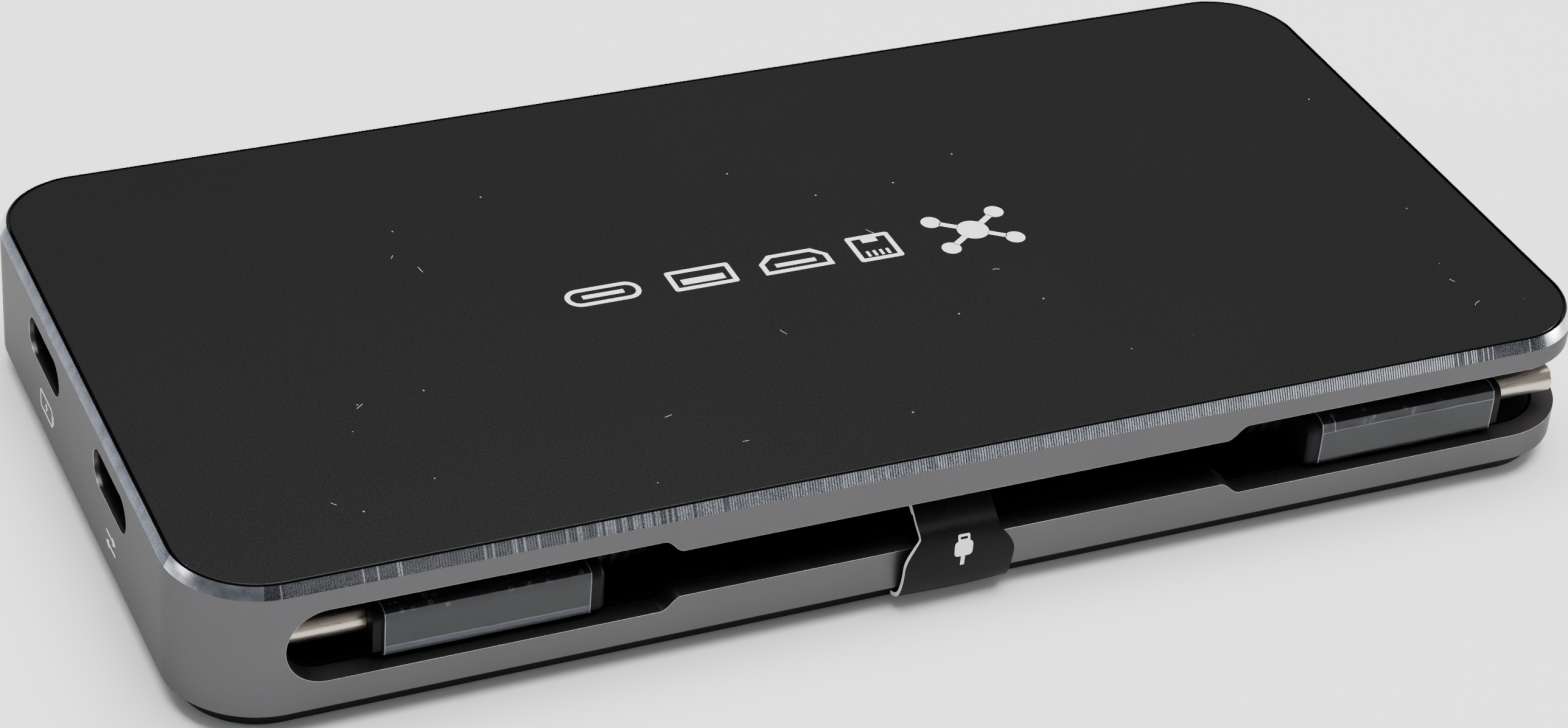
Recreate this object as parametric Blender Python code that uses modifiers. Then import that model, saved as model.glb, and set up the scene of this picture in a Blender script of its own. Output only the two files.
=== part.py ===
"""A slim USB-C hub with a stowed lead, as an assembly of separate pieces.

Metres, +Z up. The origin is on the table, under the middle of the housing.
+X runs along the long side, -Y faces the slot that holds the lead.
"""

from math import cos, pi, radians, sin

import bmesh
import bpy
from mathutils import Matrix, Vector

# Housing
LENGTH = 0.1300
WIDTH = 0.0642
HEIGHT = 0.0150
CORNER_RADIUS = 0.0081
BODY_BOTTOM = 0.00245
CHAMFER_HEIGHT = 0.0010
CHAMFER_INSET = 0.00055
WALL = 0.0020
DECK_BOTTOM = 0.01305
DECK_TOP = 0.01385
COVER_RECESS_INSET = 0.0010
COVER_RECESS_TOP = 0.00345

# Top panel and its adhesive
PANEL_RECESS_INSET = 0.00062
PANEL_INSET = 0.00087
PANEL_BOTTOM = 0.01430
PANEL_EDGE_BEVEL = 0.0001
ADHESIVE_INSET = 0.0030
ADHESIVE_BOTTOM = 0.01400
ADHESIVE_TOP = 0.01415

# Base
COVER_INSET = 0.00128
COVER_BOTTOM = 0.0005
COVER_FLOOR = 0.0019
COVER_TOP = 0.0032
COVER_RIM = 0.0013
COVER_EDGE_RADIUS = 0.0004
COUNTERBORE_RADIUS = 0.0022
COUNTERBORE_TOP = 0.0012
FOOT_RADIUS = 0.0045
FOOT_TOP = 0.0008
FOOT_EDGE = 0.0002
FOOT_RECESS_RADIUS = 0.0048
FOOT_RECESS_TOP = 0.0011
FOOT_X = 0.0495
FOOT_Y = 0.0215

# Slot for the lead, in the front face
POCKET_LOW = 0.00503
POCKET_HIGH = 0.01210
SLOT_LOW = 0.00625
SLOT_HIGH = 0.01085
POCKET_LEFT_END = -0.0571
LEFT_STEP = (-0.0252, -0.0234)
RIGHT_STEP = (0.0270, 0.0290)
NOTCH_BACK = -0.0192
TRAY_CLEARANCE = 0.0003
TRAY_LOW = 0.0043
TRAY_HIGH = 0.01283
TRAY_BACK = -0.0167
TRAY_INNER_BACK = -0.0179

# Lead
LEAD_Y = -0.0251
LEAD_Z = 0.008565
PLUG_Z = 0.00765
PLUG_LENGTH = 0.0198
PLUG_WIDTH = 0.0120
PLUG_THICKNESS = 0.0044
PLUG_EDGE_RADIUS = 0.0009
PLUG_END_BEVEL = 0.0004
PLUG_FRONT_X = {"left": -0.04955, "right": 0.0558}
TIP_LENGTH = 0.00665
TIP_WIDTH = 0.00834
TIP_THICKNESS = 0.00256
TIP_WALL = 0.0003
TIP_DEPTH_IN_PLUG = 0.0017
TIP_CLEARANCE = 0.00014
INSERT_SETBACK = 0.0007
INSERT_MOUTH = (0.0066, 0.0008)
INSERT_MOUTH_DEPTH = 0.0045
FILM_GAP = 0.0001
FILM_THICKNESS = 0.00012
FILM_START = 0.0009
FILM_LENGTH = 0.0176
RELIEF_LENGTH = 0.0050
RELIEF_ROOT_RADIUS = 0.00215
RELIEF_OVER_CABLE = 0.0003
RELIEF_ROOT_EDGE = 0.0002
RELIEF_GROOVES = (0.75, 0.5, 0.25)
GROOVE_DEPTH = 0.0003
GROOVE_HALF_WIDTH = 0.0004
GROOVE_HALF_FLOOR = 0.0002
CABLE_RADIUS = 0.0018
CABLE_POINTS = 8
END_GAP = 0.0003

# Label looped round the lead
TAG_X = 0.0015
TAG_NECK_HALF_WIDTH = 0.00365
TAG_BODY_HALF_WIDTH = 0.0051
TAG_THICKNESS = 0.00036
TAG_LOOP_RADIUS = 0.00203
TAG_LOOP_THINNESS = 0.6
TAG_SHOULDER_TOP = 0.0074
TAG_SHOULDER_BOTTOM = 0.0049

# Board
BOARD_LOW = (-0.0605, -0.0162, 0.0077)
BOARD_HIGH = (0.0605, 0.0282, 0.0089)
BOARD_CORNER = 0.002
BOARD_CLEARANCE = 0.0003
BOARD_POST_CLEARANCE = 0.0004
POST_RADIUS = 0.0024
POST_BOTTOM = 0.00215
POST_HOLE_TOP = 0.0072
BOSS_BOTTOM = 0.00915
BOSS_HOLE_TOP = 0.0126
SCREW_HOLE_RADIUS = 0.00115
SHANK_RADIUS = 0.0009
SHANK_POINT = 0.0004
COVER_SCREW_HEAD = (0.0019, 0.0005)
COVER_SCREW_LENGTH = 0.0053
COVER_SCREW_SEAT = 0.0011
BOARD_SCREW_HEAD = (0.0017, 0.0011)
BOARD_SCREW_LENGTH = 0.0048
BOARD_SCREW_GAP = 0.0002
COVER_SCREWS = {
    "front_left": (-0.051, -0.0135),
    "front_right": (0.051, -0.0135),
    "back_left": (-0.057, 0.0235),
    "back_right": (0.057, 0.0235),
}
BOARD_SCREWS = {
    "front_left": (-0.037, -0.0122),
    "front_right": (0.037, -0.0122),
    "middle_left": (-0.0100, 0.0120),
    "middle_right": (0.0520, 0.0060),
}

# Ports in the left end: centre of each opening
LEFT_PORTS = {"charge": 0.0106, "data": -0.0098}
LEFT_PORT_Z = 0.01065
LEFT_OPENING = (0.0097, 0.0036)
# Plate round both openings: least and greatest y and z
PORT_PLATE_LOW = (-0.0185, 0.0050)
PORT_PLATE_HIGH = (0.0190, 0.0130)
PORT_PLATE_CORNER = 0.0010
PORT_PLATE_GAP = 0.00003
C_SHELL = (0.00894, 0.00316)
C_SHELL_WALL = 0.00025
C_SHELL_LENGTH = 0.0074
C_SHELL_BACKSET = 0.0003
C_BLOCK_CLEARANCE = 0.0004
C_BLOCK_LENGTH = 0.0020
C_TONGUE = (0.0067, 0.0007, 0.0046)

# Ports in the back face: centre of each opening along X
BACK_PORT_Z = 0.0075
USB_A_X = {"usb_a_left": 0.0, "usb_a_middle": 0.019, "usb_a_right": 0.038}
USB_A_SIZE = (0.0132, 0.0058)
USB_A_LENGTH = 0.0135
USB_A_BLOCK = (0.0120, 0.0047, 0.0030)
USB_A_TONGUE = (0.0112, 0.0018, 0.0085)
USB_A_TONGUE_RISE = 0.0009
VIDEO_X = -0.020
VIDEO_SIZE = (0.0150, 0.0056)
VIDEO_LENGTH = 0.0115
VIDEO_CHAMFER = 0.0016
VIDEO_BLOCK = (0.0130, 0.0030, 0.0030)
VIDEO_TONGUE = (0.0110, 0.0010, 0.0066)
VIDEO_RISE = 0.0006
BACK_SHELL_WALL = 0.0003
BACK_SHELL_BACKSET = 0.0003
BACK_OPENING_CLEARANCE = 0.0003
BACK_OPENING_CORNER = 0.0006
BACK_SHELL_CORNER = 0.0005
BACK_SHELL_INNER_CORNER = 0.85
BLOCK_GAP = 0.0001
BLOCK_CORNER_SHARE = 0.3
BLOCK_CORNER_MOST = 0.0006
JACK_X = -0.042
JACK_LOW = (-0.0078, 0.0144, 0.00225)
JACK_HIGH = (0.0078, 0.0292, 0.01265)
JACK_CAVITY_HALF_WIDTH = 0.00595
JACK_CAVITY_LOW = 0.00375
JACK_CAVITY_HIGH = 0.01175
JACK_CAVITY_BACK = 0.0165
JACK_CORNER = 0.0004
JACK_OPENING_CORNER = 0.0005
CONTACTS_HALF_WIDTH = 0.0043
CONTACTS_LOW = (0.0003, 0.0002)
CONTACTS_HIGH = (0.0090, 0.0010)
CONTACTS_CORNER = 0.0003

# Parts on the board: centre x and y, size x, y and height
CHIPS = {
    "hub_chip": (0.0100, 0.0000, 0.0090, 0.0090, 0.0009),
    "video_chip": (-0.0210, 0.0090, 0.0100, 0.0100, 0.0010),
    "power_chip": (-0.0480, 0.0005, 0.0050, 0.0050, 0.0009),
    "network_chip": (-0.0385, 0.0060, 0.0070, 0.0070, 0.0009),
    "network_transformer": (-0.0300, -0.0050, 0.0127, 0.0070, 0.0034),
    "crystal": (0.0200, -0.0100, 0.0032, 0.0025, 0.0008),
    "power_inductor_left": (0.0400, -0.0030, 0.0060, 0.0060, 0.0030),
    "power_inductor_right": (0.0480, -0.0030, 0.0060, 0.0060, 0.0030),
}
CAPACITORS = {"capacitor_left": (0.0260, 0.0090), "capacitor_right": (0.0330, 0.0090)}
CAPACITOR_RADIUS = 0.0025
CAPACITOR_HEIGHT = 0.0034
CAPACITOR_EDGE = 0.0003
CAPACITOR_WAIST = (0.0010, 0.0008, 0.0006)
CHIP_CORNER = 0.0003
PAD_CORNER = 0.0005
CHIP_STANDOFF = 0.0002
PAD_GAP = 0.0002

CORNER_SEGMENTS = 10
SMALL_SEGMENTS = 4
OVAL_SEGMENTS = 6
SLOT_END_SEGMENTS = 16
ROUND_SIDES = 24
SMALL_ROUND_SIDES = 16
STEP_POINTS = 6
SMOOTH_ANGLE = radians(32)
MERGE = 0.00001
PAST = 0.001
THROUGH_WALL = 1.5 * WALL
OVAL = 0.49

FRONT = -WIDTH / 2
BACK = WIDTH / 2
LEFT = -LENGTH / 2
RIGHT = LENGTH / 2

# Colour, roughness, metallic
FINISHES = {
    "anodised_aluminium": ((0.150, 0.147, 0.152), 0.42, 1.0),
    "black_panel": ((0.014, 0.013, 0.014), 0.45, 0.0),
    "base_plastic": ((0.010, 0.010, 0.011), 0.40, 0.0),
    "tray_plastic": ((0.008, 0.008, 0.008), 0.45, 0.0),
    "foot_rubber": ((0.020, 0.020, 0.020), 0.80, 0.0),
    "plug_plastic": ((0.022, 0.022, 0.023), 0.50, 0.0),
    "plug_nickel": ((0.680, 0.630, 0.560), 0.28, 1.0),
    "insert_plastic": ((0.012, 0.012, 0.012), 0.50, 0.0),
    "cable_jacket": ((0.015, 0.015, 0.016), 0.60, 0.0),
    "clear_film": ((0.800, 0.820, 0.850), 0.10, 0.0),
    "tag_card": ((0.016, 0.016, 0.017), 0.50, 0.0),
    "adhesive": ((0.550, 0.530, 0.480), 0.70, 0.0),
    "port_steel": ((0.560, 0.560, 0.570), 0.30, 1.0),
    "contact_gold": ((0.830, 0.610, 0.250), 0.30, 1.0),
    "screw_steel": ((0.300, 0.300, 0.310), 0.35, 1.0),
    "board_laminate": ((0.008, 0.045, 0.022), 0.45, 0.0),
    "chip_resin": ((0.016, 0.016, 0.017), 0.55, 0.0),
    "ferrite": ((0.060, 0.058, 0.056), 0.60, 0.0),
    "can_aluminium": ((0.750, 0.750, 0.760), 0.30, 1.0),
    "thermal_silicone": ((0.350, 0.400, 0.480), 0.80, 0.0),
}


def clear_scene():
    for obj in list(bpy.data.objects):
        bpy.data.objects.remove(obj)


def new_collection(name):
    collection = bpy.data.collections.new(name)
    bpy.context.scene.collection.children.link(collection)
    return collection


def make_finish(name, colour, roughness, metallic):
    finish = bpy.data.materials.new(name)
    finish.use_nodes = True
    shader = finish.node_tree.nodes["Principled BSDF"]
    shader.inputs["Base Color"].default_value = (*colour, 1.0)
    shader.inputs["Roughness"].default_value = roughness
    shader.inputs["Metallic"].default_value = metallic
    return finish


clear_scene()
PARTS = new_collection("usb_hub")
CUTTERS = new_collection("cutters")
MATERIALS = {name: make_finish(name, *values) for name, values in FINISHES.items()}


def add_part(name, data, finish, location=(0, 0, 0)):
    """A node of the assembly."""
    obj = bpy.data.objects.new(name, data)
    obj.location = location
    if finish not in [slot.name for slot in data.materials]:
        data.materials.append(MATERIALS[finish])
    if isinstance(data, bpy.types.Mesh):
        data.shade_smooth()
        data.set_sharp_from_angle(angle=SMOOTH_ANGLE)
    PARTS.objects.link(obj)
    return obj


def add_cutter(name, data, location=(0, 0, 0)):
    obj = bpy.data.objects.new(name, data)
    obj.location = location
    obj.hide_render = True
    obj.display_type = "WIRE"
    CUTTERS.objects.link(obj)
    return obj


def boolean(obj, other, operation="DIFFERENCE"):
    modifier = obj.modifiers.new(other.name, "BOOLEAN")
    modifier.operation = operation
    modifier.object = other
    modifier.solver = "EXACT"


def bevel(obj, width, segments=2, angle=40):
    modifier = obj.modifiers.new("edges", "BEVEL")
    modifier.width = width
    modifier.segments = segments
    modifier.limit_method = "ANGLE"
    modifier.angle_limit = radians(angle)


def mesh_from(bm, name):
    mesh = bpy.data.meshes.new(name)
    bm.to_mesh(mesh)
    bm.free()
    return mesh


def bar_mesh(name, size, radius=0.0, axis="Z", segments=SMALL_SEGMENTS, side=None):
    """A centred box with its edges along one axis rounded, or only those on one side of Z."""
    bm = bmesh.new()
    bmesh.ops.create_cube(bm, size=1.0)
    bmesh.ops.scale(bm, vec=size, verts=bm.verts)
    along = "XYZ".index(axis)
    edges = []
    for edge in bm.edges:
        start, end = edge.verts
        on_side = side is None or start.co.z * side > 0
        if on_side and abs(start.co[along] - end.co[along]) > size[along] / 2:
            edges.append(edge)
    if radius:
        bmesh.ops.bevel(bm, geom=edges, offset=radius, segments=segments, profile=0.5, affect="EDGES")
    return mesh_from(bm, name)


def between(low, high):
    """Centre and size of the box from one corner to the other."""
    low, high = Vector(low), Vector(high)
    return (low + high) / 2, high - low


def bar(name, finish, low, high, radius=0.0, axis="Z", segments=SMALL_SEGMENTS, side=None):
    centre, size = between(low, high)
    return add_part(name, bar_mesh(name, size, radius, axis, segments, side), finish, centre)


def bar_cutter(name, low, high, radius=0.0, axis="Z", segments=SMALL_SEGMENTS, side=None):
    centre, size = between(low, high)
    return add_cutter(name, bar_mesh(name, size, radius, axis, segments, side), centre)


def plan_box(inset, bottom, top):
    """Corners of the housing's outline, set in from its walls, between two heights."""
    return (LEFT + inset, FRONT + inset, bottom), (RIGHT - inset, BACK - inset, top)


def plan_cutter(name, inset, bottom, top):
    return bar_cutter(name, *plan_box(inset, bottom, top), CORNER_RADIUS - inset, segments=CORNER_SEGMENTS)


def cylinder_mesh(name, radius, height, sides=ROUND_SIDES):
    """A centred cylinder along Z."""
    bm = bmesh.new()
    bmesh.ops.create_cone(
        bm, cap_ends=True, segments=sides, radius1=radius, radius2=radius, depth=height
    )
    return mesh_from(bm, name)


def cylinder_cutter(name, x, y, radius, bottom, top):
    mesh = cylinder_mesh(name, radius, top - bottom)
    return add_cutter(name, mesh, (x, y, (bottom + top) / 2))


def turned_mesh(name, profile, sides=ROUND_SIDES):
    """A profile of (radius, height) points, from the top down, turned about Z."""
    mesh = bpy.data.meshes.new(name)
    points = [(radius, 0, height) for radius, height in profile]
    mesh.from_pydata(points, [(i, i + 1) for i in range(len(points) - 1)], [])
    obj = bpy.data.objects.new(name, mesh)
    CUTTERS.objects.link(obj)
    screw = obj.modifiers.new("turn", "SCREW")
    screw.steps = sides
    screw.render_steps = sides
    screw.use_merge_vertices = True
    screw.merge_threshold = MERGE
    turned = solid_copy(obj)
    bpy.data.objects.remove(obj)
    return turned


def solid_copy(obj):
    """The evaluated shape of an object, as a mesh of its own."""
    bpy.context.view_layer.update()
    graph = bpy.context.evaluated_depsgraph_get()
    mesh = bpy.data.meshes.new_from_object(obj.evaluated_get(graph))
    bm = bmesh.new()
    bm.from_mesh(mesh)
    bmesh.ops.remove_doubles(bm, verts=bm.verts, dist=MERGE)
    bm.to_mesh(mesh)
    bm.free()
    return mesh


def outline_cutter(name, points, axis, low, high):
    """A flat outline, (x, z) along Y or (y, z) along X, as a solid between two places on the axis."""
    curve = bpy.data.curves.new(name, "CURVE")
    curve.dimensions = "2D"
    curve.fill_mode = "BOTH"
    curve.extrude = (high - low) / 2
    spline = curve.splines.new("POLY")
    spline.points.add(len(points) - 1)
    for point, (across, up) in zip(spline.points, points):
        point.co = (across, up, 0, 1)
    spline.use_cyclic_u = True
    outline = bpy.data.objects.new(name, curve)
    CUTTERS.objects.link(outline)
    mesh = solid_copy(outline)
    bpy.data.objects.remove(outline)
    cutter = add_cutter(name, mesh)
    turn = Matrix.Rotation(pi / 2, 4, "X")
    middle = Vector((0, (low + high) / 2, 0))
    if axis == "X":
        turn = Matrix.Rotation(pi / 2, 4, "Z") @ turn
        middle = Vector(((low + high) / 2, 0, 0))
    cutter.matrix_world = Matrix.Translation(middle) @ turn
    return cutter


def arc(centre, radius, start, end, count):
    """Points round a centre, from one angle in degrees to another."""
    angles = [radians(start + (end - start) * i / count) for i in range(count + 1)]
    return [(centre[0] + radius * cos(a), centre[1] + radius * sin(a)) for a in angles]


def soft_step(start, end):
    """Points of an S between two places."""
    points = []
    for i in range(STEP_POINTS + 1):
        part = i / STEP_POINTS
        rise = (1 - cos(pi * part)) / 2
        points.append((start[0] + (end[0] - start[0]) * part, start[1] + (end[1] - start[1]) * rise))
    return points


def slot_outline():
    """The slot seen from the front: a round-ended pocket, a narrow stretch, a pocket open at the right."""
    radius = (POCKET_HIGH - POCKET_LOW) / 2
    middle = (POCKET_HIGH + POCKET_LOW) / 2
    points = arc((POCKET_LEFT_END + radius, middle), radius, 90, 270, SLOT_END_SEGMENTS)
    points += soft_step((LEFT_STEP[0], POCKET_LOW), (LEFT_STEP[1], SLOT_LOW))
    points += soft_step((RIGHT_STEP[0], SLOT_LOW), (RIGHT_STEP[1], POCKET_LOW))
    points += [(RIGHT + PAST, POCKET_LOW), (RIGHT + PAST, POCKET_HIGH)]
    points += soft_step((RIGHT_STEP[1], POCKET_HIGH), (RIGHT_STEP[0], SLOT_HIGH))
    points += soft_step((LEFT_STEP[1], SLOT_HIGH), (LEFT_STEP[0], POCKET_HIGH))
    return points


def notch_outline():
    """The pocket's way out through the right end, seen along X: (y, z) with a round end at the back."""
    radius = (POCKET_HIGH - POCKET_LOW) / 2
    middle = (POCKET_HIGH + POCKET_LOW) / 2
    points = arc((NOTCH_BACK - radius, middle), radius, -90, 90, SLOT_END_SEGMENTS)
    return points + [(FRONT - PAST, POCKET_HIGH), (FRONT - PAST, POCKET_LOW)]


def make_body_shell():
    """The aluminium housing: open below, with a raised rim and a chamfer round the top."""
    centre, size = between(*plan_box(0, BODY_BOTTOM, HEIGHT - CHAMFER_HEIGHT))
    mesh = bar_mesh("body_shell", size, CORNER_RADIUS, segments=CORNER_SEGMENTS)
    bm = bmesh.new()
    bm.from_mesh(mesh)
    top = [face for face in bm.faces if face.normal.z > 0.99]
    bmesh.ops.inset_region(bm, faces=top, thickness=CHAMFER_INSET, depth=CHAMFER_HEIGHT)
    bm.to_mesh(mesh)
    bm.free()
    shell = add_part("body_shell", mesh, "anodised_aluminium", centre)
    boolean(shell, plan_cutter("panel_recess", PANEL_RECESS_INSET, DECK_TOP, HEIGHT + PAST))
    boolean(shell, plan_cutter("inside", WALL, BODY_BOTTOM - PAST, DECK_BOTTOM))
    boolean(shell, plan_cutter("cover_recess", COVER_RECESS_INSET, BODY_BOTTOM - PAST, COVER_RECESS_TOP))
    cut_lead_slot(shell)
    cut_ports(shell)
    add_posts(shell)
    return shell


def cut_lead_slot(shell):
    middle_of_tray = (FRONT + TRAY_BACK) / 2
    slot = outline_cutter("lead_slot", slot_outline(), "Y", FRONT - PAST, middle_of_tray)
    notch = outline_cutter("corner_notch", notch_outline(), "X", RIGHT - THROUGH_WALL, RIGHT + PAST)
    boolean(shell, slot)
    boolean(shell, notch)


def cut_ports(shell):
    """The window for the port plate in the left end, and the openings in the back."""
    y, z = PORT_PLATE_LOW
    low = (LEFT - PAST, y - PORT_PLATE_GAP, z - PORT_PLATE_GAP)
    y, z = PORT_PLATE_HIGH
    high = (LEFT + THROUGH_WALL, y + PORT_PLATE_GAP, z + PORT_PLATE_GAP)
    boolean(shell, bar_cutter("port_window", low, high, PORT_PLATE_CORNER, "X"))
    for name, x in USB_A_X.items():
        boolean(shell, back_port_cutter(f"{name}_opening", x, USB_A_SIZE))
    boolean(shell, back_port_cutter("video_opening", VIDEO_X, VIDEO_SIZE, VIDEO_CHAMFER))
    low = (JACK_X - JACK_CAVITY_HALF_WIDTH, BACK - THROUGH_WALL, JACK_CAVITY_LOW)
    high = (JACK_X + JACK_CAVITY_HALF_WIDTH, BACK + PAST, JACK_CAVITY_HIGH)
    boolean(shell, bar_cutter("ethernet_opening", low, high, JACK_OPENING_CORNER, "Y"))


def back_port_cutter(name, x, size, chamfer=0.0):
    wide = size[0] / 2 + BACK_OPENING_CLEARANCE
    high = size[1] / 2 + BACK_OPENING_CLEARANCE
    low = (x - wide, BACK - THROUGH_WALL, BACK_PORT_Z - high)
    top = (x + wide, BACK + PAST, BACK_PORT_Z + high)
    if chamfer:
        return bar_cutter(name, low, top, chamfer, "Y", 1, -1)
    return bar_cutter(name, low, top, BACK_OPENING_CORNER, "Y")


def add_posts(shell):
    """Posts for the cover's screws and shorter ones for the board's, hanging from the deck."""
    inside_deck = (DECK_BOTTOM + DECK_TOP) / 2
    for places, bottom, hole_top, what in (
        (COVER_SCREWS, POST_BOTTOM, POST_HOLE_TOP, "post"),
        (BOARD_SCREWS, BOSS_BOTTOM, BOSS_HOLE_TOP, "boss"),
    ):
        for where, (x, y) in places.items():
            post = cylinder_cutter(f"{what}_{where}", x, y, POST_RADIUS, bottom, inside_deck)
            hole = cylinder_cutter(
                f"{what}_hole_{where}", x, y, SCREW_HOLE_RADIUS, bottom - PAST, hole_top
            )
            boolean(shell, post, "UNION")
            boolean(shell, hole)


def make_top():
    panel = bar(
        "top_panel", "black_panel", *plan_box(PANEL_INSET, PANEL_BOTTOM, HEIGHT),
        CORNER_RADIUS - PANEL_INSET, segments=CORNER_SEGMENTS,
    )
    bevel(panel, PANEL_EDGE_BEVEL, 1, 60)
    bar(
        "panel_adhesive", "adhesive", *plan_box(ADHESIVE_INSET, ADHESIVE_BOTTOM, ADHESIVE_TOP),
        CORNER_RADIUS - ADHESIVE_INSET, segments=SMALL_SEGMENTS,
    )


def make_base():
    """The black cover that closes the housing, its screws and its feet."""
    centre, size = between(*plan_box(COVER_INSET, COVER_BOTTOM, COVER_TOP))
    mesh = bar_mesh("bottom_cover", size, CORNER_RADIUS - COVER_INSET, segments=CORNER_SEGMENTS)
    bm = bmesh.new()
    bm.from_mesh(mesh)
    under = [face for face in bm.faces if face.normal.z < -0.99]
    bmesh.ops.bevel(
        bm, geom=list(under[0].edges), offset=COVER_EDGE_RADIUS, segments=2, profile=0.5, affect="EDGES"
    )
    bm.to_mesh(mesh)
    bm.free()
    cover = add_part("bottom_cover", mesh, "base_plastic", centre)
    boolean(cover, plan_cutter("cover_inside", COVER_INSET + COVER_RIM, COVER_FLOOR, COVER_TOP + PAST))
    for where, (x, y) in COVER_SCREWS.items():
        below = COVER_BOTTOM - PAST
        boolean(
            cover,
            cylinder_cutter(f"counterbore_{where}", x, y, COUNTERBORE_RADIUS, below, COUNTERBORE_TOP),
        )
        boolean(
            cover,
            cylinder_cutter(f"cover_hole_{where}", x, y, SCREW_HOLE_RADIUS, below, COVER_FLOOR + PAST),
        )
    foot_mesh = turned_mesh("foot", [
        (0, FOOT_TOP), (FOOT_RADIUS, FOOT_TOP), (FOOT_RADIUS, FOOT_EDGE), (FOOT_RADIUS - FOOT_EDGE, 0),
        (0, 0),
    ])
    for deep, y in (("front", -FOOT_Y), ("back", FOOT_Y)):
        for side, x in (("left", -FOOT_X), ("right", FOOT_X)):
            name = f"{deep}_{side}"
            boolean(
                cover,
                cylinder_cutter(
                    f"foot_recess_{name}", x, y, FOOT_RECESS_RADIUS, COVER_BOTTOM - PAST, FOOT_RECESS_TOP
                ),
            )
            add_part(f"foot_{name}", foot_mesh, "foot_rubber", (x, y, 0))


def screw_mesh(name, head_radius, head_height, length):
    """A pan-head screw pointing up from its head's underside at z = 0, with a crossed recess."""
    profile = [
        (0, length), (SHANK_RADIUS * 0.6, length), (SHANK_RADIUS, length - SHANK_POINT), (SHANK_RADIUS, 0),
        (head_radius, 0), (head_radius, -head_height * 0.6), (head_radius * 0.8, -head_height),
        (0, -head_height),
    ]
    screw = add_cutter(f"{name}_blank", turned_mesh(name, profile, SMALL_ROUND_SIDES))
    for turn in (0, pi / 2):
        blade = add_cutter(
            f"{name}_blade_{round(turn)}",
            bar_mesh("blade", (head_radius * 1.1, head_radius * 0.25, head_height * 0.8)),
            (0, 0, -head_height),
        )
        blade.rotation_euler.z = turn
        boolean(screw, blade)
    mesh = solid_copy(screw)
    bpy.data.objects.remove(screw)
    return mesh


def make_screws():
    cover_screw = screw_mesh("cover_screw", *COVER_SCREW_HEAD, COVER_SCREW_LENGTH)
    for where, (x, y) in COVER_SCREWS.items():
        add_part(f"cover_screw_{where}", cover_screw, "screw_steel", (x, y, COVER_SCREW_SEAT))
    board_screw = screw_mesh("board_screw", *BOARD_SCREW_HEAD, BOARD_SCREW_LENGTH)
    seat = BOARD_LOW[2] - BOARD_SCREW_GAP
    for where, (x, y) in BOARD_SCREWS.items():
        add_part(f"board_screw_{where}", board_screw, "screw_steel", (x, y, seat))


def make_tray():
    """The liner of the slot: floor, roof, back and left end, open at the front and at the right."""
    inset = WALL + TRAY_CLEARANCE
    low = (LEFT + inset, FRONT + inset, TRAY_LOW)
    high = (RIGHT - inset, TRAY_BACK, TRAY_HIGH)
    tray = bar("cable_tray", "tray_plastic", low, high, CORNER_RADIUS - inset, segments=CORNER_SEGMENTS)
    boolean(tray, outline_cutter("tray_slot", slot_outline(), "Y", FRONT - PAST, TRAY_INNER_BACK))


def make_board():
    """The board, with round holes for the posts and notches for the ports in the back."""
    board = bar("main_board", "board_laminate", BOARD_LOW, BOARD_HIGH, BOARD_CORNER)
    past_board = (BOARD_LOW[2] - PAST, BOARD_HIGH[2] + PAST)
    for where, (x, y) in COVER_SCREWS.items():
        radius = POST_RADIUS + BOARD_POST_CLEARANCE
        boolean(board, cylinder_cutter(f"board_post_{where}", x, y, radius, *past_board))
    for where, (x, y) in BOARD_SCREWS.items():
        boolean(board, cylinder_cutter(f"board_hole_{where}", x, y, SCREW_HOLE_RADIUS, *past_board))
    shell_back = BACK - BACK_SHELL_BACKSET
    notches = [(x, USB_A_SIZE[0] / 2, shell_back - USB_A_LENGTH) for x in USB_A_X.values()]
    notches.append((VIDEO_X, VIDEO_SIZE[0] / 2, shell_back - VIDEO_LENGTH))
    notches.append((JACK_X, JACK_HIGH[0], JACK_LOW[1]))
    for i, (x, half_width, start) in enumerate(notches):
        low = (x - half_width - BOARD_CLEARANCE, start - BOARD_CLEARANCE, past_board[0])
        high = (x + half_width + BOARD_CLEARANCE, BACK, past_board[1])
        boolean(board, bar_cutter(f"board_notch_{i}", low, high))


def make_board_parts():
    top = BOARD_HIGH[2] + CHIP_STANDOFF
    finishes = {
        "crystal": "can_aluminium", "power_inductor_left": "ferrite", "power_inductor_right": "ferrite",
    }
    for name, (x, y, wide, deep, high) in CHIPS.items():
        low = (x - wide / 2, y - deep / 2, top)
        corner = (x + wide / 2, y + deep / 2, top + high)
        bar(name, finishes.get(name, "chip_resin"), low, corner, CHIP_CORNER, segments=2)
    waist_top, waist, waist_bottom = CAPACITOR_WAIST
    narrow = CAPACITOR_RADIUS - CAPACITOR_EDGE
    can = turned_mesh("capacitor", [
        (0, CAPACITOR_HEIGHT), (narrow, CAPACITOR_HEIGHT),
        (CAPACITOR_RADIUS, CAPACITOR_HEIGHT - CAPACITOR_EDGE), (CAPACITOR_RADIUS, waist_top),
        (narrow, waist), (CAPACITOR_RADIUS, waist_bottom), (CAPACITOR_RADIUS, 0), (0, 0),
    ])
    for name, (x, y) in CAPACITORS.items():
        add_part(name, can, "can_aluminium", (x, y, top))
    x, y, wide, deep, high = CHIPS["hub_chip"]
    bar(
        "thermal_pad", "thermal_silicone",
        (x - wide / 2, y - deep / 2, top + high + PAD_GAP),
        (x + wide / 2, y + deep / 2, DECK_BOTTOM - PAD_GAP), PAD_CORNER, segments=2,
    )


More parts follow.
